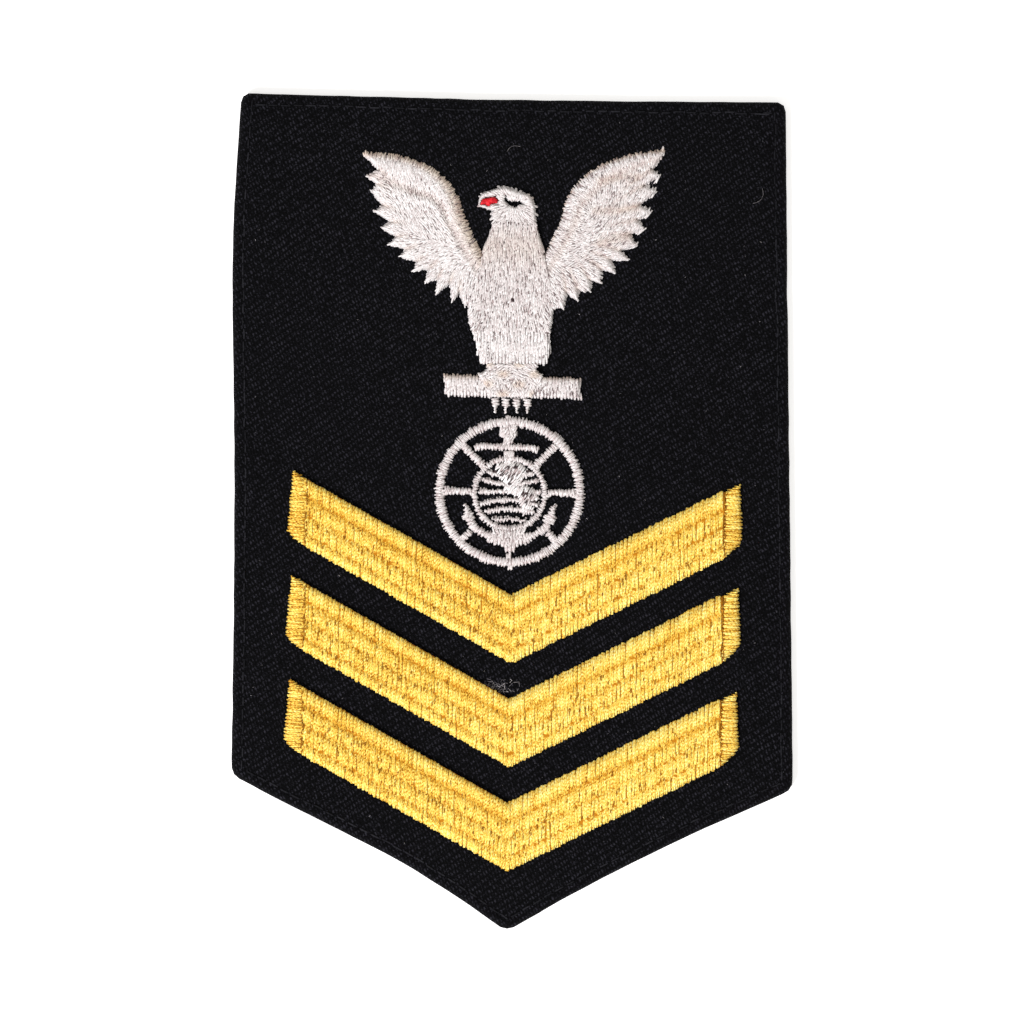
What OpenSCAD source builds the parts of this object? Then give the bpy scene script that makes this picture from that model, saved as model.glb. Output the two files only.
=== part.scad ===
// Petty officer's rating patch: wool serge with its edges turned under, carrying an embroidered
// eagle on a perch, a round mark of globe, compass and anchor, and three chevrons.
// X runs to the right of the face, Y up the face and Z out of it. The patch lies on its back
// at Z = 0, with the middle of its outline on the Z axis. Millimetres and degrees.

/* [Cloth] */
// Thickness of the serge
cloth_t = 1; // [1:0.1:1.6]
// Air between the front and the hem turned under it
hem_gap = 0.2; // [0.1:0.05:0.5]
// Width of the hem turned under
hem_w = 9; // [6:0.5:14]
// Bare cloth beside the chevrons' ends
side_margin = 9.8; // [6:0.2:16]
// Bare cloth above the higher wing
top_margin = 9.2; // [5:0.2:16]
// Bare cloth from the lowest chevron's point to the point of the cloth
point_margin = 11.1; // [6:0.1:20]
// How far right of the chevrons' middle the cloth's middle is
cloth_shift = 0.4; // [-2:0.05:2]
// Slope of the two lower edges
point_angle = 28; // [22:0.5:34]
// Clockwise turn of the two lower edges
point_turn = 0.6; // [-2:0.1:2]
// How far inside its shoulder the upper left corner is
left_lean = -0.4; // [-3:0.1:5]
// How far inside its shoulder the upper right corner is
right_lean = 3.5; // [-3:0.1:5]
// Radius of the upper corners
corner_r = 1.7; // [1.5:0.1:5]
// Radius of the shoulders
shoulder_r = 2.6; // [1.5:0.1:6]
// Radius of the lower point
point_r = 3; // [1.5:0.1:6]
// Outward bow of the left edge
left_bow = 1.1; // [0:0.1:2.5]
// Hollow of the top edge
top_hollow = 0.4; // [0:0.1:2]
// Hollow of each lower edge
lower_hollow = 1; // [0:0.1:2]

/* [Thread] */
// Gap between neighbouring pieces of embroidery
piece_gap = 0.1; // [0.05:0.01:0.15]
// Height of a satin edge, before its crown
rim_h = 0.6; // [0.4:0.05:0.8]
// How far in from the edge a crown starts
crown_in = 0.35; // [0.2:0.05:0.4]

/* [Eagle] */
// Height of the eagle, from the foot of its perch to the higher wing tip
eagle_h = 45.4; // [42:0.2:50]
// Reach of a wing from the eagle's middle
wing_reach = 27.9; // [26:0.1:32]
// Height of the wings' embroidery
wing_h = 0.9; // [0.8:0.05:1.3]
// Width of the raised band along a wing's leading edge
wing_band = 3.2; // [2:0.2:5]
// Rise of that band above the wing
wing_band_rise = 0.15; // [0.1:0.05:0.4]
// Height of the torso's and tail's embroidery
torso_h = 1.1; // [0.8:0.05:1.5]
// Height of the head's embroidery
head_h = 1.05; // [0.8:0.05:1.5]
// Height of the beak's embroidery
beak_h = 0.95; // [0.8:0.05:1.4]
// Length of the perch
perch_len = 24.6; // [20:0.2:30]
// Width of the perch, up the face
perch_w = 3.9; // [3:0.1:5]
// Height of the perch's embroidery
perch_h = 0.9; // [0.8:0.05:1.2]
// Clockwise turn of the perch
perch_turn = 0.5; // [-2:0.1:2]
// How far right of the eagle's middle the perch's middle is
perch_shift = 0.2; // [-1:0.1:1]
// How far left the perch's top edge is drawn from its foot
perch_skew = 0.5; // [-1:0.1:1]
// Height of the stitches of the legs that lie over the perch
leg_over = 0.3; // [0.2:0.05:0.5]
// Length of a talon below the perch
talon_len = 2.7; // [2:0.1:4]
// Width of a talon
talon_w = 1.4; // [1:0.05:1.6]
// Distance between talons
talon_pitch = 1.95; // [1.8:0.05:2.2]

/* [Round mark] */
// Gap between the talons and the compass ring
ring_clear = 0.7; // [0.5:0.05:4]
// Outer radius of the compass ring
ring_r = 13.6; // [13:0.1:16]
// Width of the compass ring
ring_band = 1.75; // [1.2:0.05:1.9]
// Outer radius of the globe's ring
globe_r = 6.95; // [6:0.05:7.1]
// Width of the globe's ring
globe_band = 1.15; // [0.9:0.05:1.6]
// Drop of the globe's centre below the compass's
globe_drop = 0.3; // [0:0.05:0.4]
// Height of the mark's satin stitches
mark_h = 0.85; // [0.8:0.05:1.2]
// Height of the lines of latitude
line_h = 0.6; // [0.4:0.05:0.75]
// Width of a line of latitude
line_w = 0.9; // [0.6:0.05:1.1]
// Rise of the land above the lines
land_rise = 0.35; // [0.2:0.05:0.6]
// Width of a slanted spoke
spoke_w = 1.35; // [0.9:0.05:1.8]
// Width of a level spoke at the compass ring
level_spoke_w = 1.75; // [1.2:0.05:2.4]
// Width of a level spoke at the globe's ring
level_inner_w = 1.1; // [0.8:0.05:1.8]
// Half length of the anchor's stock
stock_reach = 5.95; // [5:0.05:6.4]
// Thickness of the anchor's stock
stock_w = 1.25; // [0.9:0.05:1.4]
// Length of the shank between the globe's ring and the stock
shank_len = 0.9; // [0.6:0.05:1.3]
// Width of the anchor's shank
shank_w = 1.8; // [1.2:0.05:2.4]
// Gap between the globe's ring and the anchor's crown
arm_clear = 0.25; // [0.15:0.05:0.5]
// Width of the anchor's arms
arm_w = 2.4; // [1.6:0.05:2.6]
// Half width of the point below the anchor's arms
crown_waist = 1.6; // [1.2:0.1:2.2]
// Anticlockwise turn of the anchor's arms
anchor_turn = 1.2; // [-2:0.1:3]
// Anticlockwise turn of the anchor's shank and head
shank_turn = 2.4; // [-2:0.1:3]
// Anticlockwise turn of the anchor's stock
stock_turn = -0.8; // [-2:0.1:2]
// How far left of the shank the stock's middle is
stock_shift = 0.35; // [-0.4:0.05:0.4]

/* [Chevrons] */
// Width over the ends of a chevron
chevron_w = 82.6; // [78:0.2:96]
// Slope of a chevron's arms
chevron_angle = 27.8; // [24:0.2:32]
// Width of an arm, square to its edges
band_w = 10.8; // [8:0.1:13]
// Cloth between one chevron and the next, square to their edges
band_gap = 5.9; // [3:0.05:8]
// Clearance from the compass ring to the upper chevron
chevron_clear = 3; // [1:0.1:8]
// How far right of the compass's centre the chevrons' points are
chevron_shift = 0.95; // [-1.5:0.05:1.5]
// Clockwise turn of the chevrons
chevron_turn = 0.7; // [-2:0.1:2]
// Height of the chevrons' edges
band_h = 0.9; // [0.8:0.05:1.4]
// Rise of each rib along an arm
rib_rise = 0.25; // [0.1:0.05:0.4]
// Width of the satin column that closes an end
end_w = 3.3; // [2:0.1:5]
// How far an end's outer edge leans in at the top
end_lean = 0.7; // [0:0.1:1]
// How much shorter the left ends are at their lower edge
end_short_left = 0.4; // [0:0.1:1.5]
// How much shorter the right ends are at their lower edge
end_short_right = 1; // [0:0.1:1.5]
// Rise of an end's crown above its edges
end_rise = 0.35; // [0.2:0.05:0.6]

/* [Hidden] */

SERGE = [0.07, 0.07, 0.10];
WHITE_THREAD = [0.93, 0.89, 0.90];
RED_THREAD = [0.80, 0.10, 0.14];
GOLD_THREAD = [0.90, 0.72, 0.25];

// Cloth folded in two, with its edge a half round
fold_r = (2 * cloth_t + hem_gap) / 2;
face_z = 2 * fold_r;
fold_steps = 8;
corner_steps = 6;
least_corner_r = 0.3;

// Design heights, up from the centre of the compass ring
talon_tip_y = ring_r + ring_clear;
perch_y = talon_tip_y + talon_len + piece_gap;
wing_tip_y = perch_y + eagle_h;
chevron_top_y = -(ring_r + chevron_clear) / cos(chevron_angle);
chevron_pitch = (band_w + band_gap) / cos(chevron_angle);
chevron_count = 3;
lowest_y = chevron_top_y - (chevron_count - 1) * chevron_pitch - band_w / cos(chevron_angle);
band_reach = chevron_w / 2 - end_w - piece_gap;

// Corners of the cloth before rounding, anticlockwise from the upper right, with their radii
half_w = chevron_w / 2 + side_margin;
cloth_x = chevron_shift + cloth_shift;
point_x = chevron_shift;
point_y = lowest_y - point_margin;
top_y = wing_tip_y + top_margin;
shoulder_left_x = cloth_x - half_w;
shoulder_right_x = cloth_x + half_w;
CORNERS = [
    [shoulder_right_x - right_lean, top_y],
    [shoulder_left_x + left_lean, top_y],
    [shoulder_left_x, point_y + (point_x - shoulder_left_x) * tan(point_angle + point_turn)],
    [point_x, point_y],
    [shoulder_right_x, point_y + (shoulder_right_x - point_x) * tan(point_angle - point_turn)]];
CORNER_R = [corner_r, corner_r, shoulder_r, point_r, shoulder_r];
// The edge that follows each corner: outward bow, share of the way where it is most,
// how sharply it peaks, and the number of points along it
EDGES = [
    [-top_hollow, 0.5, 1, 6],
    [left_bow, 0.23, 4, 14],
    [-1.3 * lower_hollow, 0.62, 1, 8],
    [-lower_hollow, 0.45, 1, 8],
    [0, 0.5, 1, 2]];

function unit(v) = v / norm(v);
function left_of(v) = [-v[1], v[0]];
function turned(p, a) = [p[0] * cos(a) - p[1] * sin(a), p[0] * sin(a) + p[1] * cos(a)];
function wrap(i) = (i + len(CORNERS)) % len(CORNERS);
function along(i) = unit(CORNERS[wrap(i + 1)] - CORNERS[wrap(i)]);
function inward(i) = left_of(along(i));
function bow_at(edge, u) =
    edge[0] * pow(sin(180 * pow(u, ln(0.5) / ln(edge[1]))), edge[2]);

// Points round corner i of the outline moved in by inset
function corner_points(i, inset) =
    let (before = inward(i - 1), after = inward(i))
    let (meet = (before + after) / (1 + before * after))
    let (r = max(CORNER_R[i] - inset, least_corner_r))
    let (centre = CORNERS[i] + meet * (inset + r))
    let (sweep = acos(before * after))
    [for (k = [0:corner_steps]) centre - r * turned(before, sweep * k / corner_steps)];

// The whole outline moved in by inset
function outline(inset) =
    let (rounds = [for (i = [0:len(CORNERS) - 1]) corner_points(i, inset)])
    [for (i = [0:len(CORNERS) - 1])
        let (from = rounds[i][corner_steps], to = rounds[wrap(i + 1)][0], n = EDGES[i][3])
        each concat(rounds[i],
            [for (k = [1:n]) let (u = k / (n + 1))
                from + (to - from) * u - inward(i) * bow_at(EDGES[i], u)])];

rim = outline(0);
middle = [
    (max([for (p = rim) p[0]]) + min([for (p = rim) p[0]])) / 2,
    (max([for (p = rim) p[1]]) + min([for (p = rim) p[1]])) / 2];

// Eagle: places as shares of wing_reach, out from its middle, and of eagle_h, up from the
// perch's foot. Leading edge: tip, handle, wrist, handle, root.
LEAD_LEFT = [[1, 0.97], [0.513, 0.975], [0.37, 0.8], [0.3, 0.672], [0.203, 0.573]];
LEAD_RIGHT = [[0.975, 1], [0.477, 0.982], [0.33, 0.789], [0.303, 0.685], [0.197, 0.573]];
// Feathers from the second down: notch above it out, up, then its tip out, up
FEATHERS_LEFT = [
    [0.88, 0.9, 0.96, 0.875],
    [0.89, 0.845, 0.935, 0.815],
    [0.855, 0.76, 0.91, 0.735],
    [0.795, 0.695, 0.865, 0.67],
    [0.765, 0.637, 0.81, 0.605],
    [0.7, 0.587, 0.74, 0.555],
    [0.63, 0.54, 0.65, 0.5],
    [0.545, 0.513, 0.575, 0.455],
    [0.49, 0.475, 0.5, 0.41],
    [0.41, 0.458, 0.395, 0.38],
    [0.35, 0.42, 0.31, 0.362]];
FEATHERS_RIGHT = [
    [0.885, 0.92, 0.94, 0.9],
    [0.835, 0.857, 0.923, 0.837],
    [0.808, 0.78, 0.887, 0.753],
    [0.794, 0.718, 0.848, 0.687],
    [0.747, 0.663, 0.8, 0.617],
    [0.686, 0.597, 0.747, 0.56],
    [0.622, 0.56, 0.66, 0.507],
    [0.568, 0.522, 0.57, 0.465],
    [0.496, 0.478, 0.503, 0.43],
    [0.42, 0.438, 0.42, 0.394],
    [0.345, 0.427, 0.33, 0.36]];
// Where each wing leaves the torso below its feathers
ARMPIT_LEFT = [0.284, 0.374];
ARMPIT_RIGHT = [0.274, 0.36];
// Sections of the body: up, left, right
NECK = [0.687, 0.145, 0.148];
TORSO_ROWS = [NECK, [0.645, 0.163, 0.162], [0.573, 0.215, 0.21], [0.374, 0.29, 0.275],
    [0.335, 0.291, 0.258], [0.295, 0.284, 0.257], [0.262, 0.262, 0.243]];
TAIL_ROWS = [[0.26, 0.258, 0.24], [0.21, 0.238, 0.249], [0.17, 0.223, 0.243],
    [0.14, 0.21, 0.226], [0.133, 0.205, 0.215]];
LEG_TOP = 0.131;
// Sections of the legs: up as a share of their length above the perch, left, right
LEG_ROWS = [[1, 0.157, 0.166], [0.55, 0.166, 0.16], [0.3, 0.186, 0.176], [0.06, 0.215, 0.2],
    [-0.3, 0.215, 0.2]];
// Stitches over the perch: up as a share of its width, left, right
OVER_ROWS = [[0.97, 0.215, 0.2], [0.6, 0.17, 0.16], [0.06, 0.15, 0.13]];
over_lap = 0.4;
// Outline of the head: out to the right, up
HEAD = [[0.147, 0.689], [0.136, 0.727], [0.133, 0.762], [0.115, 0.793], [0.093, 0.811],
    [0.022, 0.824], [-0.043, 0.837], [-0.07, 0.841], [-0.115, 0.835], [-0.158, 0.826],
    [-0.211, 0.815], [-0.23, 0.8], [-0.236, 0.775], [-0.233, 0.764], [-0.2, 0.76],
    [-0.179, 0.753], [-0.143, 0.747], [-0.15, 0.725], [-0.143, 0.689]];
BEAK = [[-0.224, 0.768], [-0.21, 0.789], [-0.188, 0.796], [-0.156, 0.8], [-0.127, 0.8],
    [-0.111, 0.79], [-0.118, 0.775], [-0.156, 0.773], [-0.168, 0.762], [-0.195, 0.769]];
EYE_SLIT = [[-0.065, 0.785], [-0.056, 0.802], [-0.045, 0.79], [-0.013, 0.782],
    [0.023, 0.786], [0.07, 0.772], [0.027, 0.772], [0.004, 0.761], [-0.038, 0.77]];
TALON_COUNT = 4;
// A talon: half width as a share of its width, down as a share of its length
TALON_ROWS = [[0.5, 0], [0.47, 0.5], [0.2, 0.62], [0.14, 1]];

// Lines of latitude as shares of the globe ring's inner radius: height at the middle,
// how much higher the ends are, width as a share of line_w
LATITUDES = [[0.51, 0.33, 1], [0.28, 0.22, 1], [0.06, 0, 1], [-0.19, -0.22, 1],
    [-0.48, -0.17, 1], [-0.8, -0.12, 0.75]];
// Land, as shares of the same radius: out to the right, up
NORTH = [[-0.34, 0.9], [0.3, 0.9], [0.48, 0.72], [0.27, 0.4], [0.03, 0.22], [-0.2, 0.45],
    [-0.4, 0.7]];
SOUTH = [[0.3, 0.1], [0.5, 0.19], [0.75, 0.08], [0.83, -0.12], [0.68, -0.22],
    [0.62, -0.42], [0.45, -0.44], [0.36, -0.2]];
// Anchor: half outline of the stock, along as a share of stock_reach, up as one of stock_w
STOCK = [[0.86, 0.5], [1, 0.1], [0.93, -0.9], [0.78, -0.5]];
// Fluke's corners: degrees from straight down, radius as a share of the arms' middle
FLUKE_OUT = [56, 1.17];
FLUKE_TIP = [77, 0.975];
// Where the inner edge of an arm ends, in degrees from straight down
fluke_in = 53;
// Edges of an arm's rows of stitches, down from its upper edge, as shares of band_w
RIB_EDGES = [0, 0.265, 0.535, 0.81, 1];
ring_inner = ring_r - ring_band;
globe_inner = globe_r - globe_band;
globe_near = globe_r - globe_drop;
arm_r = globe_r + globe_drop + arm_clear;
arm_mid = arm_r + arm_w / 2;
arm_outer = arm_r + arm_w;
crown_tip = ring_inner - 2 * piece_gap;
stock_foot = globe_near + shank_len;
stock_top = stock_foot + stock_w;
stock_up = (stock_foot + stock_top) / 2;
fine = 64;
line_steps = 10;

function quad(a, b, c, n) =
    [for (k = [0:n]) let (t = k / n) a * pow(1 - t, 2) + b * 2 * t * (1 - t) + c * pow(t, 2)];
function on_eagle(p, side = 1) = [side * p[0] * wing_reach, p[1] * eagle_h];
function leading_edge(lead, side) =
    let (p = [for (q = lead) on_eagle(q, side)])
    concat(quad(p[0], p[1], p[2], 12), [for (k = [1:6]) quad(p[2], p[3], p[4], 6)[k]]);
function rows_outline(rows) = concat(
    [for (r = rows) on_eagle([r[1], r[0]], -1)],
    [for (k = [len(rows) - 1:-1:0]) on_eagle([rows[k][2], rows[k][0]])]);
function polar_down(a, r) = [r * sin(a), -r * cos(a)];
function mirrored(points) = [for (k = [len(points) - 1:-1:0]) [-points[k][0], points[k][1]]];

// Everything sewn is placed up from the compass ring's centre, on the face
module on_face() {
    translate([-middle[0], -middle[1], face_z])
        children();
}

module on_perch_foot() {
    on_face()
        translate([0, perch_y, 0])
            children();
}

// A field of stitches: a rim, and a crown set in from the edge
module stitched(h) {
    linear_extrude(rim_h)
        children();
    linear_extrude(h)
        offset(delta = -crown_in)
            children();
}

// Section of a satin column with a rounded crown
module satin_section(w, edge_h, h) {
    rise = h - edge_h;
    r = (pow(w / 2, 2) + pow(rise, 2)) / (2 * rise);
    intersection() {
        translate([0, h - r])
            circle(r, $fn = 96);
        translate([-w / 2, 0])
            square([w, h]);
    }
}

module ground_cloth() {
    // Rings of the closed shell, as inset and height: the inside of the fold, the hem's free
    // edge, then round the outside of the fold to the face
    inner_r = hem_gap / 2;
    rings = concat(
        [for (a = [90, 0, -90]) [fold_r - inner_r * cos(a), fold_r + inner_r * sin(a)]],
        [[hem_w, cloth_t], [hem_w, 0]],
        [for (k = [0:fold_steps]) let (a = -90 + 180 * k / fold_steps)
            [fold_r * (1 - cos(a)), fold_r * (1 + sin(a))]]);
    n = len(rim);
    last = len(rings) - 1;
    points = concat(
        [for (ring = rings) each [for (p = outline(ring[0])) [p[0], p[1], ring[1]]]],
        [[middle[0], middle[1], cloth_t + hem_gap], [middle[0], middle[1], face_z]]);
    under = len(points) - 2;
    over = len(points) - 1;
    walls = [for (j = [0:last - 1], i = [0:n - 1])
        let (a = j * n + i, b = j * n + (i + 1) % n)
        each [[a, b, b + n], [a, b + n, a + n]]];
    caps = [for (i = [0:n - 1]) let (k = (i + 1) % n)
        each [[under, k, i], [over, last * n + i, last * n + k]]];
    color(SERGE)
        translate([-middle[0], -middle[1], 0])
            polyhedron(points, [for (f = concat(walls, caps)) [f[2], f[1], f[0]]]);
}

module wing_shape(lead, feathers, armpit, side) {
    polygon(concat(
        leading_edge(lead, side),
        [on_eagle(armpit, side)],
        [for (k = [len(feathers) - 1:-1:0])
            each [on_eagle([feathers[k][2], feathers[k][3]], side),
                on_eagle([feathers[k][0], feathers[k][1]], side)]]));
}

module wing_left_shape() wing_shape(LEAD_LEFT, FEATHERS_LEFT, ARMPIT_LEFT, -1);
module wing_right_shape() wing_shape(LEAD_RIGHT, FEATHERS_RIGHT, ARMPIT_RIGHT, 1);

// A wing with the raised band along its leading edge
module wing(lead, feathers, armpit, side) {
    edge = leading_edge(lead, side);
    across = [for (k = [0:len(edge) - 1])
        left_of(unit(edge[min(k + 1, len(edge) - 1)] - edge[max(k - 1, 0)])) * side];
    color(WHITE_THREAD)
        on_perch_foot() {
            stitched(wing_h)
                wing_shape(lead, feathers, armpit, side);
            linear_extrude(wing_h + wing_band_rise)
                polygon(concat(
                    [for (k = [1:len(edge) - 2]) edge[k] + across[k] * crown_in],
                    [for (k = [len(edge) - 2:-1:2]) edge[k] + across[k] * wing_band]));
        }
}

module wing_left() wing(LEAD_LEFT, FEATHERS_LEFT, ARMPIT_LEFT, -1);
module wing_right() wing(LEAD_RIGHT, FEATHERS_RIGHT, ARMPIT_RIGHT, 1);

module torso() {
    color(WHITE_THREAD)
        on_perch_foot()
            stitched(torso_h)
                difference() {
                    polygon(rows_outline(TORSO_ROWS));
                    offset(delta = piece_gap) {
                        wing_left_shape();
                        wing_right_shape();
                    }
                }
}

module tail() {
    color(WHITE_THREAD)
        on_perch_foot()
            stitched(torso_h)
                polygon(rows_outline(TAIL_ROWS));
}

module beak_shape() polygon([for (p = BEAK) on_eagle(p)]);

module head() {
    color(WHITE_THREAD)
        on_perch_foot()
            stitched(head_h)
                difference() {
                    polygon([for (p = HEAD) on_eagle(p)]);
                    polygon([for (p = EYE_SLIT) on_eagle(p)]);
                    offset(delta = piece_gap)
                        beak_shape();
                }
}

module beak() {
    color(RED_THREAD)
        on_perch_foot()
            stitched(beak_h)
                beak_shape();
}

module perch_shape() {
    half = perch_len / 2;
    skew = perch_skew / 2;
    rotate(-perch_turn)
        translate([perch_shift, 0])
            polygon([[skew - half, 0], [skew + half, 0],
                [half - skew, perch_w], [-skew - half, perch_w]]);
}

module perch() {
    color(WHITE_THREAD)
        on_perch_foot()
            stitched(perch_h)
                perch_shape();
}

// The legs stand on the cloth above the perch and run on over it
module legs() {
    perch_top = perch_w / eagle_h;
    lap = over_lap / eagle_h;
    foot = OVER_ROWS[0];
    above = [for (r = LEG_ROWS) [perch_top + r[0] * (LEG_TOP - perch_top), r[1], r[2]]];
    over = concat([[perch_top + lap, foot[1], foot[2]]],
        [for (r = OVER_ROWS) [r[0] * perch_top, r[1], r[2]]]);
    color(WHITE_THREAD)
        on_perch_foot() {
            linear_extrude(perch_h + leg_over)
                difference() {
                    polygon(rows_outline(above));
                    offset(delta = piece_gap)
                        perch_shape();
                }
            translate([0, 0, perch_h])
                linear_extrude(leg_over)
                    polygon(rows_outline(over));
        }
}

module talon(i) {
    right = [for (r = TALON_ROWS) [r[0] * talon_w, -r[1] * talon_len]];
    color(WHITE_THREAD)
        on_perch_foot()
            linear_extrude(rim_h)
                difference() {
                    translate([(i - (TALON_COUNT + 1) / 2) * talon_pitch, -piece_gap])
                        polygon(concat(right, mirrored(right)));
                    offset(delta = piece_gap)
                        perch_shape();
                }
}

module satin_ring(r, band) {
    color(WHITE_THREAD)
        on_face()
            rotate_extrude($fn = fine)
                translate([r - band / 2, 0])
                    satin_section(band, rim_h, mark_h);
}

module at_globe() {
    translate([0, -globe_drop])
        children();
}

module compass_ring() satin_ring(ring_r, ring_band);

module globe_ring() {
    translate([0, -globe_drop, 0])
        satin_ring(globe_r, globe_band);
}

// A spoke at an angle, from the compass ring in to a radius or to the globe's ring
module spoke(angle, outer_w, inner_w, inner_r) {
    color(WHITE_THREAD)
        on_face()
            stitched(mark_h)
                difference() {
                    intersection() {
                        rotate(angle)
                            polygon([[inner_r, -inner_w / 2], [ring_r, -outer_w / 2],
                                [ring_r, outer_w / 2], [inner_r, inner_w / 2]]);
                        circle(ring_inner - piece_gap, $fn = fine);
                    }
                    at_globe()
                        circle(globe_r + piece_gap, $fn = fine);
                }
}

// Spokes by their direction, anticlockwise from the right
module spoke_left() spoke(180, level_spoke_w, level_inner_w, globe_near);
module spoke_right() spoke(0, level_spoke_w, level_inner_w, globe_near);
module spoke_upper_left() spoke(136, spoke_w, spoke_w, globe_near - globe_drop);
module spoke_upper_right() spoke(46.3, spoke_w, spoke_w, globe_near - globe_drop);
module spoke_lower_left() spoke(225.9, spoke_w, spoke_w, arm_outer + piece_gap);
module spoke_lower_right() spoke(314.2, spoke_w, spoke_w, arm_outer + piece_gap);

module latitude(i) {
    line = LATITUDES[i - 1];
    r = globe_inner;
    spine = [for (k = [-line_steps:line_steps]) let (x = k / line_steps)
        [x, line[0] + line[1] * x * x] * r];
    half = [0, line[2] * line_w / 2];
    color(WHITE_THREAD)
        on_face()
            linear_extrude(line_h)
                at_globe()
                    intersection() {
                        circle(r - piece_gap, $fn = fine);
                        polygon(concat([for (p = spine) p + half],
                            [for (k = [len(spine) - 1:-1:0]) spine[k] - half]));
                    }
}

// Land is stitched over the lines of latitude and rests on them
module land(table) {
    color(WHITE_THREAD)
        on_face()
            translate([0, 0, line_h])
                linear_extrude(land_rise)
                    at_globe()
                        intersection() {
                            circle(globe_inner - piece_gap, $fn = fine);
                            polygon(table * globe_inner);
                        }
}

module land_north() land(NORTH);
module land_south() land(SOUTH);

// The field between the two rings that the anchor is clipped to
module anchor_field() {
    color(WHITE_THREAD)
        on_face()
            stitched(mark_h)
                intersection() {
                    children();
                    difference() {
                        circle(ring_inner - piece_gap, $fn = fine);
                        at_globe()
                            circle(globe_r + piece_gap, $fn = fine);
                    }
                }
}

module stock_shape() {
    right = [for (p = STOCK) [p[0] * stock_reach, p[1] * stock_w]];
    rotate(shank_turn)
        translate([-stock_shift, stock_up])
            rotate(stock_turn - shank_turn)
                polygon(concat(right, mirrored(right)));
}

// A run of the shank, cut clear of the stock
module on_shank() {
    anchor_field()
        difference() {
            rotate(shank_turn)
                children();
            offset(delta = piece_gap)
                stock_shape();
        }
}

module anchor_head() {
    shoulder = stock_top + (ring_inner - stock_top) * 0.3;
    right = [[shank_w / 2, stock_up], [shank_w / 2, shoulder],
        [shank_w * 0.85, shoulder + shank_w / 3], [shank_w * 0.7, ring_r]];
    on_shank()
        polygon(concat(right, mirrored(right)));
}

module anchor_stock() {
    anchor_field()
        stock_shape();
}

module anchor_shank() {
    on_shank()
        translate([-shank_w / 2, 0])
            square([shank_w, stock_up]);
}

// Crown, arms and flukes in one
module anchor_arms() {
    waist = asin(crown_waist / arm_outer);
    right = concat(
        [for (k = [0:line_steps])
            polar_down(waist + (FLUKE_OUT[0] - waist) * k / line_steps, arm_outer)],
        [for (p = [FLUKE_OUT, FLUKE_TIP]) polar_down(p[0], p[1] * arm_mid)],
        [for (k = [0:line_steps - 1]) polar_down(fluke_in * (1 - k / line_steps), arm_r)]);
    color(WHITE_THREAD)
        on_face()
            stitched(mark_h)
                rotate(anchor_turn)
                    polygon(concat([[0, -crown_tip]], right, [[0, -arm_r]], mirrored(right)));
}

// Places a chevron with its upper point at the origin
module at_chevron(i) {
    on_face()
        translate([chevron_shift, chevron_top_y - (i - 1) * chevron_pitch, 0])
            rotate(-chevron_turn)
                children();
}

// Section of an arm's ribs, below its upper edge
module ribbed_section() {
    for (k = [1:len(RIB_EDGES) - 1])
        let (top = RIB_EDGES[k - 1] * band_w, foot = RIB_EDGES[k] * band_w)
            translate([-(top + foot) / 2, 0])
                satin_section(foot - top, band_h, band_h + rib_rise);
}

// The right arm, cut plumb at the middle and where the end begins
module chevron_arm() {
    start = band_w * tan(chevron_angle) + 1;
    intersection() {
        rotate(chevron_angle)
            translate([-start, 0, 0])
                rotate([90, 0, 90])
                    linear_extrude(start + band_reach / cos(chevron_angle) + 1)
                        ribbed_section();
        translate([0, -chevron_w, 0])
            cube([band_reach, 2 * chevron_w, band_h + 2 * rib_rise]);
    }
}

// The flat field under the ribs runs through the point and joins the arms
module chevron_band(i) {
    rise = band_reach * tan(chevron_angle);
    drop = band_w / cos(chevron_angle);
    color(GOLD_THREAD)
        at_chevron(i) {
            linear_extrude(band_h)
                polygon([[0, 0], [-band_reach, rise], [-band_reach, rise - drop], [0, -drop],
                    [band_reach, rise - drop], [band_reach, rise]]);
            chevron_arm();
            mirror([1, 0, 0])
                chevron_arm();
        }
}

// A satin column that closes an arm, side 1 at the right and -1 at the left
module chevron_end(i, side, short) {
    inner = chevron_w / 2 - end_w;
    outer = chevron_w / 2;
    slope = tan(chevron_angle);
    drop = band_w / cos(chevron_angle);
    h = band_h + end_rise;
    color(GOLD_THREAD)
        at_chevron(i)
            mirror([side < 0 ? 1 : 0, 0, 0])
                intersection() {
                    translate([(inner + outer) / 2, outer, 0])
                        rotate([90, 0, 0])
                            linear_extrude(2 * outer)
                                satin_section(end_w, band_h, h);
                    linear_extrude(h)
                        polygon([[inner, inner * slope], [inner, inner * slope - drop],
                            [outer - end_lean, (outer - end_lean) * slope - drop + short],
                            [outer, outer * slope - drop + short + end_lean],
                            [outer - end_lean, (outer - end_lean) * slope]]);
                }
}

ground_cloth();
wing_left();
wing_right();
head();
beak();
torso();
tail();
legs();
perch();
talon(1);  // talon_1
talon(2);  // talon_2
talon(3);  // talon_3
talon(4);  // talon_4
compass_ring();
spoke_left();
spoke_right();
spoke_upper_left();
spoke_upper_right();
spoke_lower_left();
spoke_lower_right();
globe_ring();
latitude(1);  // latitude_1
latitude(2);  // latitude_2
latitude(3);  // latitude_3
latitude(4);  // latitude_4
latitude(5);  // latitude_5
latitude(6);  // latitude_6
land_north();
land_south();
anchor_head();
anchor_stock();
anchor_shank();
anchor_arms();
chevron_band(1);  // chevron_1_band
chevron_end(1, -1, end_short_left);  // chevron_1_end_left
chevron_end(1, 1, end_short_right);  // chevron_1_end_right
chevron_band(2);  // chevron_2_band
chevron_end(2, -1, end_short_left);  // chevron_2_end_left
chevron_end(2, 1, end_short_right);  // chevron_2_end_right
chevron_band(3);  // chevron_3_band
chevron_end(3, -1, end_short_left);  // chevron_3_end_left
chevron_end(3, 1, end_short_right);  // chevron_3_end_right
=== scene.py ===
import math

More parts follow.
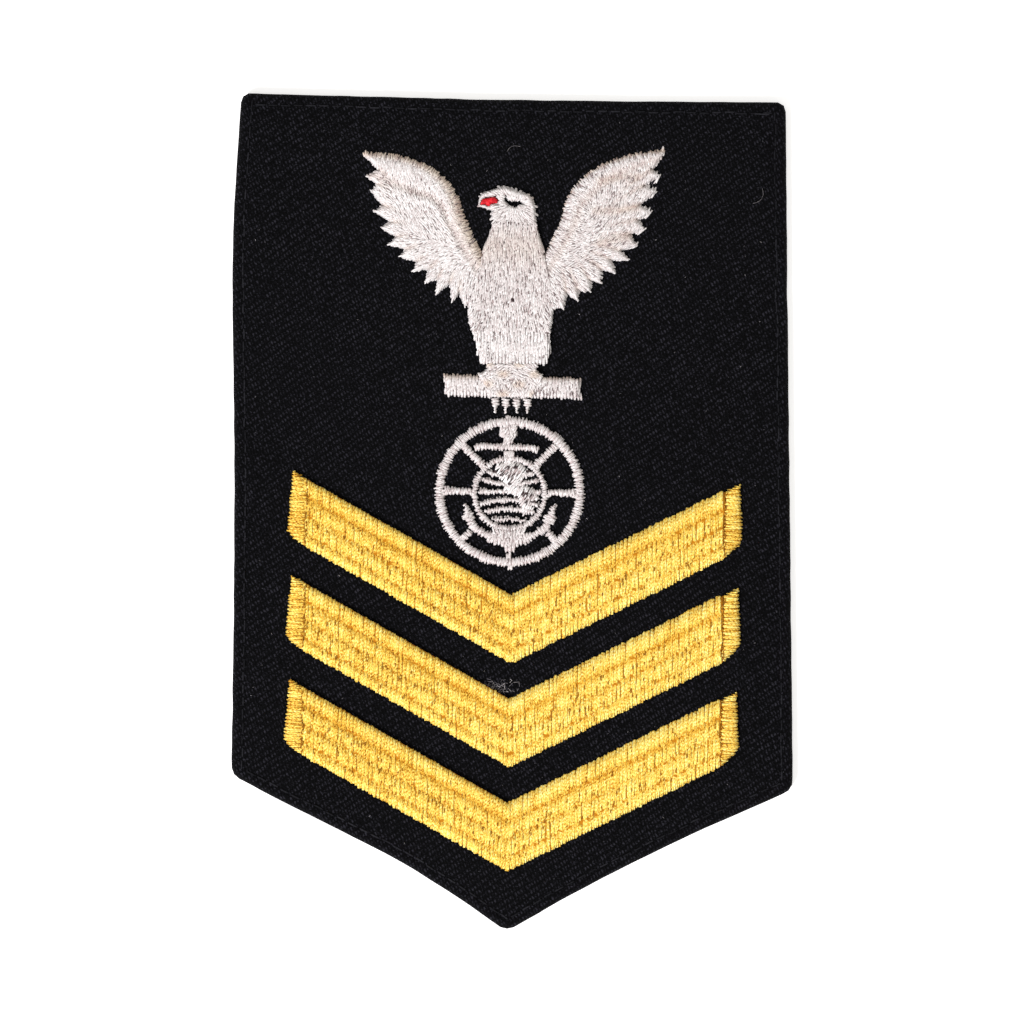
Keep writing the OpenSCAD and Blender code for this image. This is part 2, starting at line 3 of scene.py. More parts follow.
import bmesh
import bpy
import numpy as np
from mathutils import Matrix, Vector
from mathutils.geometry import delaunay_2d_cdt


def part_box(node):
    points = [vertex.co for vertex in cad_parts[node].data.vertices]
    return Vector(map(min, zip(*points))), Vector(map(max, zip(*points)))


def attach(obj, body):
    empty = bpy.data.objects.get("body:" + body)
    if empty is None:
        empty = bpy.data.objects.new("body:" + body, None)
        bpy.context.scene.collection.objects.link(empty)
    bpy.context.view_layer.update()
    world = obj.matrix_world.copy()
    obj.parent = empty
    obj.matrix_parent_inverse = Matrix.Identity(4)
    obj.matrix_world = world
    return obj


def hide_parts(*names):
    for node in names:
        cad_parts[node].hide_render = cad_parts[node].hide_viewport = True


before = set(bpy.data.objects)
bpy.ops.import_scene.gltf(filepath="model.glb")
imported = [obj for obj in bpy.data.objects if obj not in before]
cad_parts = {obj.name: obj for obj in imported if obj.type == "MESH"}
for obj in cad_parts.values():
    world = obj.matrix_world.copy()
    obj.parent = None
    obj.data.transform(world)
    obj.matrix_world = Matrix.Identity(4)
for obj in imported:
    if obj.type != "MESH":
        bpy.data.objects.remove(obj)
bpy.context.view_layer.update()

# Lengths are millimetres until a mesh is made. X runs right over the face, Y up it, Z out of it.
MM = 0.001
rng = np.random.default_rng(11)
pick = rng.uniform
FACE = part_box("ground_cloth")[1].z / MM
# How near, in metres, points of the frame count as one
SAME = 2e-6

# A thread: how wide and thick it lies, and how far apart neighbours are
THREAD_W = 0.4
THREAD_T = 0.12
PITCH = 0.3
# Where along a stitch its rings lie, for a long one and a short one
LONG = np.array([0, 0.06, 0.2, 0.5, 0.8, 0.94, 1])
SHORT = np.array([0, 0.1, 0.5, 0.9, 1])
# How plump a stitch is near its ends, and how much of its dip it has there
TAPER = ([0, 0.1, 0.2, 0.8, 0.9, 1], [0.6, 0.93, 1, 1, 0.93, 0.6])
BLUNT = ([0, 0.03, 0.97, 1], [0.8, 1, 1, 0.8])
DIP = ([0, 0.06, 0.2, 0.8, 0.94, 1], [1, 0.5, 0.1, 0.1, 0.5, 1])
ROUND = np.radians([0, 60, 120, 180])
# How far the padding's top lies below the threads' underside, and how thin it may be
CLEAR = 0.04
THINNEST = 0.05
# How many places are tried for each thread that would fit, and for each gap that is wanted
TRIES = 9
GAP_TRIES = 8


def drape(points):
    """Gentle unevenness of the cloth as it lies, which everything sewn to it follows."""
    x = points[:, 0]
    y = points[:, 1]
    wave = np.sin(x / 13 + y / 31 + 0.6) + np.sin(y / 17 - x / 41 + 2.1) + 0.6 * np.sin((x + y) / 9)
    return 0.045 * (wave + 2.6)


def turned(points, degrees):
    """Points turned anticlockwise about the origin."""
    c, s = ways(math.radians(degrees))
    return points @ np.array([[c, s], [-s, c]])


def ways(angle):
    """Unit vectors at angles."""
    return np.stack([np.cos(angle), np.sin(angle)], axis=-1)


def steady(value):
    """The same value everywhere, such as a height or a direction."""
    return lambda points: np.full(len(points), float(value))


def unit(vectors):
    return vectors / np.maximum(np.linalg.norm(vectors, axis=-1, keepdims=True), 1e-9)


def side_of(vectors):
    """Vectors turned a quarter turn anticlockwise."""
    return np.stack([-vectors[..., 1], vectors[..., 0]], axis=-1)


def bell(value, middle, width):
    """One where value is middle, and next to nothing two widths away."""
    return np.exp(-((value - middle) / width) ** 2)


def apart(points, spots):
    """Distance from each point to each spot."""
    return np.linalg.norm(points[:, None] - spots, axis=2)


def height_of(node):
    """How far a node's top stands above the face of the cloth."""
    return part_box(node)[1].z / MM - FACE


def bed_height(node):
    """How high the padding is, so that the threads over it end at the node's top."""
    return height_of(node) - THREAD_T


def solid_mesh(node):
    """A node's mesh with its shared corners joined."""
    bm = bmesh.new()
    bm.from_mesh(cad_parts[node].data)
    bmesh.ops.remove_doubles(bm, verts=bm.verts, dist=SAME)
    return bm


def place_of(vert):
    return vert.co.x / MM, vert.co.y / MM


def outline(node, top=False):
    """The closed outlines of a node's flat underside, or top, largest first."""
    bm = solid_mesh(node)
    level = (max if top else min)(v.co.z for v in bm.verts)
    # A list, so that an outline starts at the same corner each run
    flat = [f for f in bm.faces if all(abs(v.co.z - level) < SAME for v in f.verts)]
    held = set(flat)
    follow = {}
    for face in flat:
        for corner in face.loops:
            if not any(g is not face and g in held for g in corner.edge.link_faces):
                follow[corner.vert] = corner.link_loop_next.vert
    loops = []
    while follow:
        vert = next(iter(follow))
        loop = []
        while vert in follow:
            loop.append(place_of(vert))
            vert = follow.pop(vert)
        if len(loop) > 2:
            loops.append(np.array(loop))
    bm.free()
    return sorted(loops, key=lambda loop: -abs(area(loop)))


def area(loop):
    other = np.roll(loop, -1, axis=0)
    return 0.5 * np.sum(loop[:, 0] * other[:, 1] - other[:, 0] * loop[:, 1])


def box_of(loops):
    return np.array([loops[0].min(axis=0), loops[0].max(axis=0)])


def edges_of(loops):
    return np.concatenate(loops), np.concatenate([np.roll(loop, -1, axis=0) for loop in loops])


def inside(points, loops):
    a, b = edges_of(loops)
    x = points[:, :1]
    y = points[:, 1:]
    crosses = (a[:, 1] > y) != (b[:, 1] > y)
    rise = np.where(a[:, 1] == b[:, 1], 1, b[:, 1] - a[:, 1])
    at = a[:, 0] + (y - a[:, 1]) * (b[:, 0] - a[:, 0]) / rise
    return np.sum(crosses & (x < at), axis=1) % 2 == 1


def gap_to(points, a, b):
    """Distance from each point to the nearest of the lines a to b."""
    ab = b - a
    share = np.sum((points[:, None] - a) * ab, axis=2) / np.maximum(np.sum(ab * ab, axis=1), 1e-12)
    near = a + ab * np.clip(share, 0, 1)[..., None]
    return np.min(np.linalg.norm(points[:, None] - near, axis=2), axis=1)


def depth(points, loops):
    """Distance in from the outline, and below nothing outside it."""
    gap = gap_to(points, *edges_of(loops))
    return np.where(inside(points, loops), gap, -gap)


def finely(loop, most):
    """The same loop with no edge longer than most."""
    points = []
    for a, b in zip(loop, np.roll(loop, -1, axis=0)):
        n = max(math.ceil(np.linalg.norm(b - a) / most), 1)
        points += [a + (b - a) * k / n for k in range(n)]
    return np.array(points)


# How far apart two outlines that are sewn together may lie
JOINT_GAP = 0.35


class Region:
    """Outlines to sew inside. Where one lies against a neighbour's, threads run on over the joint."""

    def __init__(self, loops, around=()):
        self.loops = [finely(loop, 0.5) for loop in loops] if around else loops
        self.around = around
        a, b = edges_of(self.loops)
        near = np.full(len(a), np.inf)
        for other in around:
            near = np.minimum(near, gap_to((a + b) / 2, *edges_of(other)))
        joined = near <= JOINT_GAP
        self.open = (a[~joined], b[~joined])
        self.joint = (a[joined], b[joined])

    def from_joint(self, points):
        if not len(self.joint[0]):
            return np.full(len(points), np.inf)
        return gap_to(points, *self.joint)

    def holds(self, points):
        held = inside(points, self.loops)
        for other in self.around:
            held = held | inside(points, other)
        return held | (self.from_joint(points) < 0.2)

    def depth(self, points):
        gap = gap_to(points, *self.open)
        return np.where(self.holds(points), gap, -gap)


def region_of(node, *neighbours):
    return Region(outline(node), [outline(other) for other in neighbours])


def curved(share, high, low=0.03):
    """Height up a quarter of a circle, from low where share is nothing to high where it is one."""
    return low + (high - low) * np.sqrt(1 - (1 - share) ** 2)


def dome(region, high, low=0.03, reach=0.8):
    """A bed for the threads, rounded down to the cloth along its edge."""
    return lambda points: curved(np.clip(region.depth(points) / reach, 0, 1), high, low)


def drawn_in(loop, inset, hole=False):
    """A loop with its corners moved by inset into what it bounds, square to both edges."""
    if (area(loop) < 0) != hole:
        inset = -inset
    before = side_of(unit(loop - np.roll(loop, 1, axis=0)))
    after = side_of(unit(np.roll(loop, -1, axis=0) - loop))
    meet = (before + after) / np.maximum(1 + np.sum(before * after, axis=1, keepdims=True), 0.25)
    return loop + meet * inset


def grid_over(loop, pitch, play, first=0.0):
    """Points a pitch apart over the box of an outline, each a little out of place."""
    lo, hi = loop.min(axis=0), loop.max(axis=0)
    xs, ys = (np.arange(lo[k] + first, hi[k], pitch) for k in range(2))
    grid = np.stack(np.meshgrid(xs, ys), axis=-1).reshape(-1, 2)
    return grid + pick(-play, play, grid.shape) * pitch


def filled(loops, spots, exact, least=-1.0):
    """Points and triangles, seen from above, that fill outlines and meet at the spots inside them."""
    flat = np.concatenate([*loops, spots])
    edges = []
    first = 0
    for loop in loops:
        n = len(loop)
        edges += [(first + k, first + (k + 1) % n) for k in range(n)]
        first += n
    found = delaunay_2d_cdt([Vector(p) for p in flat], edges, [], 0, exact)
    flat = np.array([(p[0], p[1]) for p in found[0]])
    faces = np.array([f for f in found[2] if len(f) == 3])
    faces = faces[inside(flat[faces].mean(axis=1), loops)]
    a, b, c = (flat[faces[:, k]] for k in range(3))
    turn = np.sum(side_of(b - a) * (c - a), axis=1)
    faces[turn < 0] = faces[turn < 0][:, ::-1]
    return flat, faces[np.abs(turn) > least]


def rim_of(faces):
    """Edges that only one triangle uses, in its direction."""
    sides = [tuple(side) for side in faces[:, [0, 1, 1, 2, 2, 0]].reshape(-1, 2).tolist()]
    held = set(sides)
    return np.array([side for side in sides if side[::-1] not in held])


class Piece:
    """Gathers closed shapes into one mesh. Each point keeps where it is along and across its
    thread, how light the thread is and how warm its colour, which carry painted light and shade."""

    def __init__(self):
        self.points = []
        self.faces = []
        self.notes = []
        self.count = 0

    def add(self, points, faces, notes):
        for group in faces:
            self.faces.append(group + self.count)
        self.points.append(points)
        self.notes.append(notes)
        self.count += len(points)

    def slab(self, region, bed, inset=0.26, pitch=0.7, under=steady(0)):
        """The padding below the threads: closed, flat on the cloth and shaped on top."""
        drawn = []
        for k, loop in enumerate(region.loops):
            insets = np.where(region.from_joint(loop) < 0.4, 0.02, inset)
            drawn.append(drawn_in(loop, insets[:, None], k > 0))
        grid = grid_over(np.concatenate(drawn), pitch, 0.1, pitch / 2)
        flat, faces = filled(drawn, grid[depth(grid, drawn) > pitch * 0.45], 1e-5, 1e-7)
        used, faces = np.unique(faces, return_inverse=True)
        faces = faces.reshape(-1, 3)
        flat = flat[used]
        n = len(flat)
        base = under(flat)
        top = np.maximum(bed(flat) - CLEAR, base + THINNEST)
        points = np.concatenate([np.column_stack([flat, top]), np.column_stack([flat, base])])
        rim = rim_of(faces)
        walls = np.column_stack([rim[:, 0], rim[:, 0] + n, rim[:, 1] + n, rim[:, 1]])
        # A tone below nothing marks the padding, which is painted the darker bed colour as shade between
        # threads
        notes = np.tile([0.0, 0.0, -1.0, 0.0], (2 * n, 1))
        self.add(points, [faces, faces[:, ::-1] + n, walls], notes)

    def sew(self, start, end, bed, tone, width=THREAD_W, thick=THREAD_T, rise=0, dip=0.08, place=None,
            look=None, bow=0.05, shares=LONG, taper=TAPER):
        """Lays one thread, a closed half round, from each start to each end. Look gives how much
        lighter and how warm the thread is from place to place, mostly painted light and shade."""
        n = len(start)
        if n == 0:
            return
        m = len(shares)
        s = len(ROUND)
        path = start[:, None] + (end - start)[:, None] * shares[:, None]
        if place:
            path = place(path.reshape(-1, 2)).reshape(n, m, 2)
        across = side_of(unit(np.gradient(path, axis=1)))
        path = path + across * (np.sin(math.pi * shares) * pick(-bow, bow, (n, 1)))[..., None]
        flat = path.reshape(-1, 2)
        sunk = dip * np.interp(shares, *DIP)
        z = np.maximum(bed(flat).reshape(n, m) + np.reshape(rise, (-1, 1)) - sunk, 0.0)
        plump = np.interp(shares, *taper)
        w = (np.broadcast_to(width, n)[:, None] * plump / 2)[:, :, None]
        t = (np.broadcast_to(thick, n)[:, None] * plump)[:, :, None]
        points = np.empty((n, m, s, 3))
        points[..., :2] = path[:, :, None] + across[:, :, None] * (w * np.cos(ROUND))[..., None]
        points[..., 2] = z[:, :, None] + t * np.sin(ROUND)
        step = np.linalg.norm(np.diff(path, axis=1), axis=2)
        run = np.concatenate([np.zeros((n, 1)), np.cumsum(step, axis=1)], axis=1)
        notes = np.zeros((n, m, s, 4))
        notes[..., 0] = (run + pick(0, 90, (n, 1)))[:, :, None]
        notes[..., 1] = np.cos(ROUND)
        notes[..., 2] = np.broadcast_to(tone, n)[:, None, None]
        if look:
            lighter, warm = look(flat)
            notes[..., 2] = np.clip(notes[..., 2] + lighter.reshape(n, m, 1), 0, 1)
            notes[..., 3] = warm.reshape(n, m, 1)
        first = (np.arange(n) * m * s)[:, None, None]
        low = np.arange(m - 1)[:, None] * s
        side = np.arange(s)[None, :]
        other = (side + 1) % s
        walls = np.stack([first + low + side, first + low + other,
                          first + low + s + other, first + low + s + side], axis=-1)
        ends = np.arange(n)[:, None] * m * s + np.arange(s)
        self.add(points.reshape(-1, 3),
                 [walls.reshape(-1, 4)[:, ::-1], ends, ends[:, ::-1] + (m - 1) * s],
                 notes.reshape(-1, 4))

    def strew(self, start, end, bed, middle, spread=0.12, width=THREAD_W, vary=(0.8, 1.05),
              rise=(0, 0.1), **more):
        """Sews threads of random tone. Vary and rise, where they are pairs, are ranges too."""
        n = len(start)
        tone = tones(n, middle, spread)
        if vary:
            width = width * pick(*vary, n)
        if isinstance(rise, tuple):
            rise = pick(*rise, n)
        self.sew(start, end, bed, tone, width, rise=rise, **more)

    def build(self, name, kind, node=None):
        points = np.concatenate(self.points)
        points[:, 2] += FACE + drape(points[:, :2])
        return as_object(name, points, self.faces, kind, node, np.concatenate(self.notes))


def placed(name, data, place=(0, 0, 0), turn=(0, 0, 0)):
    """A new object in the scene."""
    made = bpy.data.objects.new(name, data)
    made.location = place
    made.rotation_euler = turn
    bpy.context.scene.collection.objects.link(made)
    return made


def as_object(name, points, faces, kind, node, notes=None):
    """A piece of one kind of material, which is its slot too."""
    mesh = bpy.data.meshes.new(name)
    mesh.from_pydata(points * MM, [], [face for group in faces for face in group.tolist()])
    mesh.shade_smooth()
    if notes is not None:
        for label, form, key, part in (("thread", "FLOAT_VECTOR", "vector", notes[:, :3]),
                                       ("warm", "FLOAT", "value", notes[:, 3])):
            layer = mesh.attributes.new(label, form, "POINT")
            layer.data.foreach_set(key, part.astype(np.float32).ravel())
    mesh.materials.append(MATERIALS[kind])
    piece = placed(name, mesh)
    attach(piece, "root")
    if node:
        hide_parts(node)
    return piece


# Where threads go

def columns(loops, angle=90, pitch=PITCH, cut=None, ragged=0.08, lean=0.8):
    """Threads that run at an angle across an outline, meeting in pairs at its edges.
    Gives their starts, ends and which row along its column each is in."""
    a, b = edges_of([turned(loop, 90 - angle) for loop in loops])
    lo, hi = a[:, 0].min(), a[:, 0].max()
    count = max(int((hi - lo) / pitch), 1)
    threads = []
    for k in range(count):
        x = lo + (k + 0.5) * (hi - lo) / count
        hit = (a[:, 0] > x) != (b[:, 0] > x)
        low, high = a[hit], b[hit]
        ys = np.sort(low[:, 1] + (x - low[:, 0]) * (high[:, 1] - low[:, 1]) / (high[:, 0] - low[:, 0]))
        for y0, y1 in zip(ys[::2], ys[1::2]):
            if y1 - y0 < 0.3:
                continue
            bottom = y0 - pick(-ragged, ragged)
            top = y1 + pick(-ragged, ragged)
            marks = [bottom, top] if cut is None else cut(bottom, top, k)
            x = x + pick(-0.12, 0.12) * pitch
            slant = lean * pitch / 2 * (1 if k % 2 else -1)
            for row, (p, q) in enumerate(zip(marks, marks[1:])):
                xp = x + slant * (2 * (p - bottom) / (top - bottom) - 1)
                xq = x + slant * (2 * (q - bottom) / (top - bottom) - 1)
                threads.append((xp, p, xq, q, row))
    threads = np.array(threads).reshape(-1, 5)
    start = turned(threads[:, :2], angle - 90)
    end = turned(threads[:, 2:4], angle - 90)
    return start, end, threads[:, 4].astype(int)


def bricks(length, play=0.25):
    """Cuts a column into stitches of about a length, staggered from column to column."""

    def cut(bottom, top, k):
        marks = [bottom]
        at = bottom + length * (0.35 + 0.65 * ((k * 0.382) % 1))
        while at < top - length * 0.35:
            marks.append(at + pick(-play, play) * length)
            at += length
        return marks + [top]

    return cut


def field(table, box):
    """Direction of the threads, eased between rows of x share, y share and degrees."""
    table = np.array(table, float)
    at = box[0] + table[:, :2] * (box[1] - box[0])
    lines = np.radians(2 * table[:, 2])

    def direction(points):
        gap = np.sum((points[:, None] - at) ** 2, axis=2)
        weight = 1 / (gap + 0.3) ** 2
        return 0.5 * np.arctan2(weight @ np.sin(lines), weight @ np.cos(lines))

    return direction


def run_to_edge(seeds, ends, region, over=0.0):
    """Ends pulled back to the first place where the way there leaves the outline."""
    steps = 24
    shares = np.linspace(0, 1, steps + 1)
    way = seeds[:, None] + (ends - seeds)[:, None] * shares[:, None]
    out = ~region.holds(way.reshape(-1, 2)).reshape(len(seeds), -1)
    first = np.where(out.any(axis=1), out.argmax(axis=1), steps)
    length = np.maximum(np.linalg.norm(ends - seeds, axis=1), 1e-6)
    share = np.where(out.any(axis=1), shares[first] + over / length, 1)
    return seeds + (ends - seeds) * np.clip(share, 0, 1)[:, None]


def scatter(region, direction, length=1.6, along=0.95, across=0.24, keep=None, swing=0.14):
    """Threads strewn evenly over an outline, each along the direction where it lies."""
    lo, hi = box_of(region.loops)
    tries = pick(lo, hi, (int(np.prod(hi - lo) / (along * across) * TRIES), 2))
    tries = tries[inside(tries, region.loops)]
    if keep is not None:
        tries = tries[keep(tries)]
    angle = direction(tries) + pick(-swing, swing, len(tries))
    heading = ways(angle)
    taken = np.empty((len(tries), 2))
    chosen = []
    for k in range(len(tries)):
        gap = tries[k] - taken[:len(chosen)]
        near = (gap @ heading[k] / along) ** 2 + (gap @ side_of(heading[k]) / across) ** 2
        if not np.any(near < 1):
            taken[len(chosen)] = tries[k]
            chosen.append(k)
    seeds = tries[chosen]
    reach = heading[chosen] * (length / 2 * pick(0.8, 1.2, (len(chosen), 1)))
    over = pick(-0.15, 0.05, len(chosen))
    low = run_to_edge(seeds, seeds - reach, region, over)
    return low, run_to_edge(seeds, seeds + reach, region, over)


def spaced(line, pitch, closed=False):
    """Points a pitch apart along a line, and its direction at each."""
    if closed:
        line = np.concatenate([line, line[:1]])
    step = np.linalg.norm(np.diff(line, axis=0), axis=1)
    run = np.concatenate([[0], np.cumsum(step)])
    at = np.arange(pitch / 2, run[-1], run[-1] / max(round(run[-1] / pitch), 1))
    points = np.column_stack([np.interp(at, run, line[:, k]) for k in range(2)])
    which = np.clip(np.searchsorted(run, at) - 1, 0, len(step) - 1)
    return points, unit(np.diff(line, axis=0))[which]


def facing(angle, inward):
    """Unit vectors at angles, turned round where they would point out of the outline."""
    way = ways(angle)
    return way * np.where(np.sum(way * inward, axis=1) < 0, -1, 1)[:, None]


def fringe(region, direction, pitch=0.28, length=1.5, keep=None, out=0.3):
    """Threads that start along an outline and run in with the direction there."""
    starts = []
    ends = []
    for k, loop in enumerate(region.loops):
        if (area(loop) < 0) == (k == 0):
            loop = loop[::-1]
        points, heading = spaced(loop, pitch, True)
        chosen = region.from_joint(points) > 0.5
        points = points[chosen]
        inward = side_of(heading[chosen])
        way = facing(direction(points + inward * 0.4) + pick(-0.12, 0.12, len(points)), inward)
        lean = np.sum(way * inward, axis=1, keepdims=True)
        way = unit(way + inward * np.clip(0.35 - lean, 0, 1))
        if keep is not None:
            chosen = keep(points)
            points = points[chosen]
            way = way[chosen]
        reach = way * length * pick(0.7, 1.2, (len(points), 1))
        past = pick(-0.1, out, (len(points), 1)) if k == 0 else -0.25
        starts.append(points - way * past)
        ends.append(run_to_edge(points + way * 0.2, points + reach, region))
    return np.concatenate(starts), np.concatenate(ends)


def tones(n, middle=0.55, spread=0.12):
    return pick(middle - spread, middle + spread, n)


def sew_tufts(piece, region, bed, direction, pitch=0.9, out=0.5, keep=None, look=None, middle=0.6):
    """Bunches of threads that come together a little outside the outline."""
    loop = region.loops[0] if area(region.loops[0]) > 0 else region.loops[0][::-1]
    points, heading = spaced(loop, pitch, True)
    points = points + heading * pick(-0.35, 0.35, (len(points), 1)) * pitch
    chosen = region.from_joint(points) > 0.6
    if keep is not None:
        chosen &= keep(points)
    points = points[chosen]
    heading = heading[chosen]
    inward = side_of(heading)
    way = unit(facing(direction(points + inward * 0.4), inward) + inward * 0.3)
    n = len(points)
    peak = points - way * pick(0.1, out, (n, 1))
    for offset in (-0.22, 0.0, 0.22):
        start = points + way * pick(0.7, 1.2, (n, 1)) + heading * offset
        end = peak + heading * (offset * 0.3 + pick(-0.05, 0.05, (n, 1)))
        piece.strew(start, end, bed, middle, width=0.34, vary=None, look=look, shares=SHORT)


def sew_slits(piece, bed, at, angle, length=0.7, width=0.2, tone=0.0, sway=0.0):
    """Needle holes and gaps between threads, as short dark strands level with what is beside them:
    painted shade in the holes and gaps.
    """
    n = len(at)
    angle = np.broadcast_to(angle, n)
    if sway:
        angle = angle + pick(-sway, sway, n)
    way = ways(angle) * (length / 2 * pick(0.6, 1.3, (n, 1)))
    piece.sew(at - way, at + way, bed, tone, width * pick(0.7, 1.2, n), 0.03,
              rise=THREAD_T + 0.04, dip=0, shares=SHORT)


def strew_slits(piece, region, bed, count, angle, length, width, tone=0.0, sway=0.0, chance=None):
    """Slits spread over an outline at random, as likely at each place as chance says."""
    at = pick(*box_of(region.loops), (count * GAP_TRIES, 2))
    at = at[region.depth(at) > 0.5]
    if chance:
        at = at[pick(0, 1, len(at)) < chance(at)]
    at = at[:count]
    sew_slits(piece, bed, at, angle(at) if callable(angle) else angle, length, width, tone, sway)


# Materials

class Paint:
    """A material's nodes, whose inputs are numbers, colours or other nodes' outputs."""

    def __init__(self, name):
        self.material = bpy.data.materials.new(name)
        self.material.use_nodes = True
        self.tree = self.material.node_tree
        self.tree.nodes.clear()
        self.shader = self.node("BsdfPrincipled")
        self.node("OutputMaterial", {0: self.shader.outputs[0]})

    def feed(self, node, inputs):
        for key, value in inputs.items():
            if isinstance(value, bpy.types.NodeSocket):
                self.tree.links.new(value, node.inputs[key])
            else:
                node.inputs[key].default_value = value

    def node(self, kind, inputs=None, **settings):
        made = self.tree.nodes.new("ShaderNode" + kind)
        for key, value in settings.items():
            setattr(made, key, value)
        self.feed(made, inputs or {})
        return made

    def maths(self, operation, *values, clamp=False):
        made = self.node("Math", dict(enumerate(values)), operation=operation, use_clamp=clamp)
        return made.outputs[0]

    def times(self, a, b, more=None, clamp=False):
        """A times b, and more added to it."""
        if more is None:
            return self.maths("MULTIPLY", a, b)
        return self.maths("MULTIPLY_ADD", a, b, more, clamp=clamp)

    def less(self, a, b):
        return self.maths("SUBTRACT", a, b)

    def mixed(self, share, a, b, blend="MIX"):
        made = self.node("Mix", {}, data_type="RGBA", blend_type=blend)
        self.feed(made, {0: share, 6: a, 7: b})
        return made.outputs[2]

    def noise(self, at, scale, detail):
        return self.node("TexNoise", {"Vector": at, "Scale": scale, "Detail": detail}).outputs[0]

    def spot(self):
        """Object coordinates in millimetres."""
        at = self.node("TexCoord").outputs["Object"]
        return self.node("VectorMath", {0: at, "Scale": 1 / MM}, operation="SCALE").outputs[0]

    def ramp(self, value, stops):
        made = self.node("ValToRGB", {0: value})
        elements = made.color_ramp.elements
        while len(elements) < len(stops):
            elements.new(0.5)
        for element, (position, colour) in zip(elements, stops):
            element.position = position
            element.color = (*colour, 1)
        return made.outputs[0]

    def dress(self, colour, relief, strength, distance, settings):
        """Gives the shader its colour, its relief, a distance in metres deep, and its settings."""
        bump = self.node("Bump", {"Height": relief, "Strength": strength, "Distance": distance})
        self.feed(self.shader, {"Base Color": colour, "Normal": bump.outputs[0], **settings})
        return self.material


def thread_material(name, bed, stops, warm=None, grain=1.0, fleck=(2.6, 1.0), gloss=0.5, rough=0.42,
                    sheen=0.2, tint=(1, 1, 1, 1), rim=0.0):
    """Twisted shiny thread. Tone picks the colour, and the padding below it is painted darker,
    as the shade between threads.
    """
    paint = Paint(name)
    times = paint.times
    note = paint.node("Attribute", attribute_name="thread").outputs["Vector"]
    along, across, tone = paint.node("SeparateXYZ", {0: note}).outputs
    # Painted glints: the twist of the plies lightens the colour in slanted bands, and gives relief too
    ply = paint.maths("SINE", times(along, 9.0, times(across, 1.8)))
    # Flecks along the thread, longer than wide and slanted as its twist is: random tone with painted
    # glints
    hair_x = times(along, fleck[0], times(across, 0.65 * fleck[1]))
    hair_y = times(across, fleck[1], times(along, -0.3 * fleck[0]))
    fibre = paint.noise(paint.node("CombineXYZ", {0: hair_x, 1: hair_y}).outputs[0], 1.0, 1.0)
    patchy = paint.noise(paint.spot(), 0.35, 2.0)
    shade = times(fibre, grain, paint.less(tone, grain / 2))
    shade = times(ply, 0.08, times(patchy, 0.2, paint.less(shade, 0.1)))
    # Painted light: rim makes the colour lighter towards the thread's sides, against the shade there
    edge = paint.maths("POWER", paint.maths("ABSOLUTE", across), 3.0)
    colour = paint.ramp(times(edge, rim, shade, clamp=True), stops)
    # Painted shade: where the warm attribute is set, the colour is multiplied towards the warm tint
    if warm:
        share = paint.node("Attribute", attribute_name="warm").outputs["Fac"]
        colour = paint.mixed(share, colour, paint.mixed(1.0, colour, (*warm, 1), "MULTIPLY"))
    # Painted shade: the padding, whose tone is below nothing, takes the darker bed colour
    colour = paint.mixed(paint.maths("LESS_THAN", tone, -0.5), colour, (*bed, 1))
    MATERIALS[name] = paint.dress(colour, times(ply, 0.4, fibre), 0.7, 0.00005, {
        "Roughness": times(fibre, 0.2, rough - 0.1), "Specular IOR Level": gloss, "Specular Tint": tint,
        "Sheen Weight": sheen, "Sheen Roughness": 0.4, "Sheen Tint": tint})


def serge_material():
    """Steep two-and-two twill of near-black wool with a little fluff in it."""
    paint = Paint("serge")
    times = paint.times
    at = paint.spot()
    x, y, _ = paint.node("SeparateXYZ", {0: at}).outputs
    slack = paint.less(paint.noise(at, 0.16, 4.0), 0.5)
    # Warp and weft threads are counted across and up, a little off the patch's own axes
    warp = times(x, 2.2413, times(y, -0.2299))
    weft = times(x, 0.0801, times(y, 2.8348))

    def off_whole(value):
        return paint.less(value, paint.maths("ROUND", value))

    def hump(value, sharp):
        reach = times(value, sharp)
        return times(reach, times(reach, -1.0), 1.0, clamp=True)

    # Every fourth crossing lies on one rib of the twill, and its floats are slanted by the yarn's twist
    across_rib = off_whole(times(slack, 0.9, times(paint.less(warp, weft), 0.25)))
    floats = times(slack, 0.7, times(times(warp, 3.0, weft), 0.25))
    across_float = off_whole(times(across_rib, -0.35, floats))
    height = times(hump(across_rib, 1.75), times(hump(across_float, 2.3), 0.75, 0.25))
    fuzz = paint.noise(at, 5.0, 2.0)
    # Painted light: the raised floats of the twill are coloured lighter and the hollows darker
    lit = times(height, times(paint.noise(at, 1.9, 2.0), 2.6, -0.6))
    lit = paint.maths("ADD", lit, times(fuzz, 2.4, -1.31), clamp=True)
    colour = paint.ramp(lit, [(0, (0.0004, 0.0004, 0.0006)), (0.45, (0.0024, 0.0024, 0.0034)),
                              (1, (0.022, 0.0215, 0.0285))])
    cells = paint.node("TexVoronoi", {"Vector": at, "Scale": 0.62, "Randomness": 1.0}).outputs
    rare = paint.node("SeparateColor", {0: cells["Color"]}).outputs[0]
    rare = paint.maths("GREATER_THAN", rare, 0.85)
    fleck = times(times(paint.maths("LESS_THAN", cells["Distance"], 0.06), rare), times(fuzz, 0.5))
    colour = paint.mixed(fleck, colour, (0.15, 0.15, 0.17, 1))
    relief = paint.maths("ADD", height, times(fuzz, 0.35))
    return paint.dress(colour, relief, 0.9, 0.00011, {
        "Roughness": 0.85, "Specular IOR Level": 0.06, "Sheen Weight": 0.006, "Sheen Roughness": 0.5})


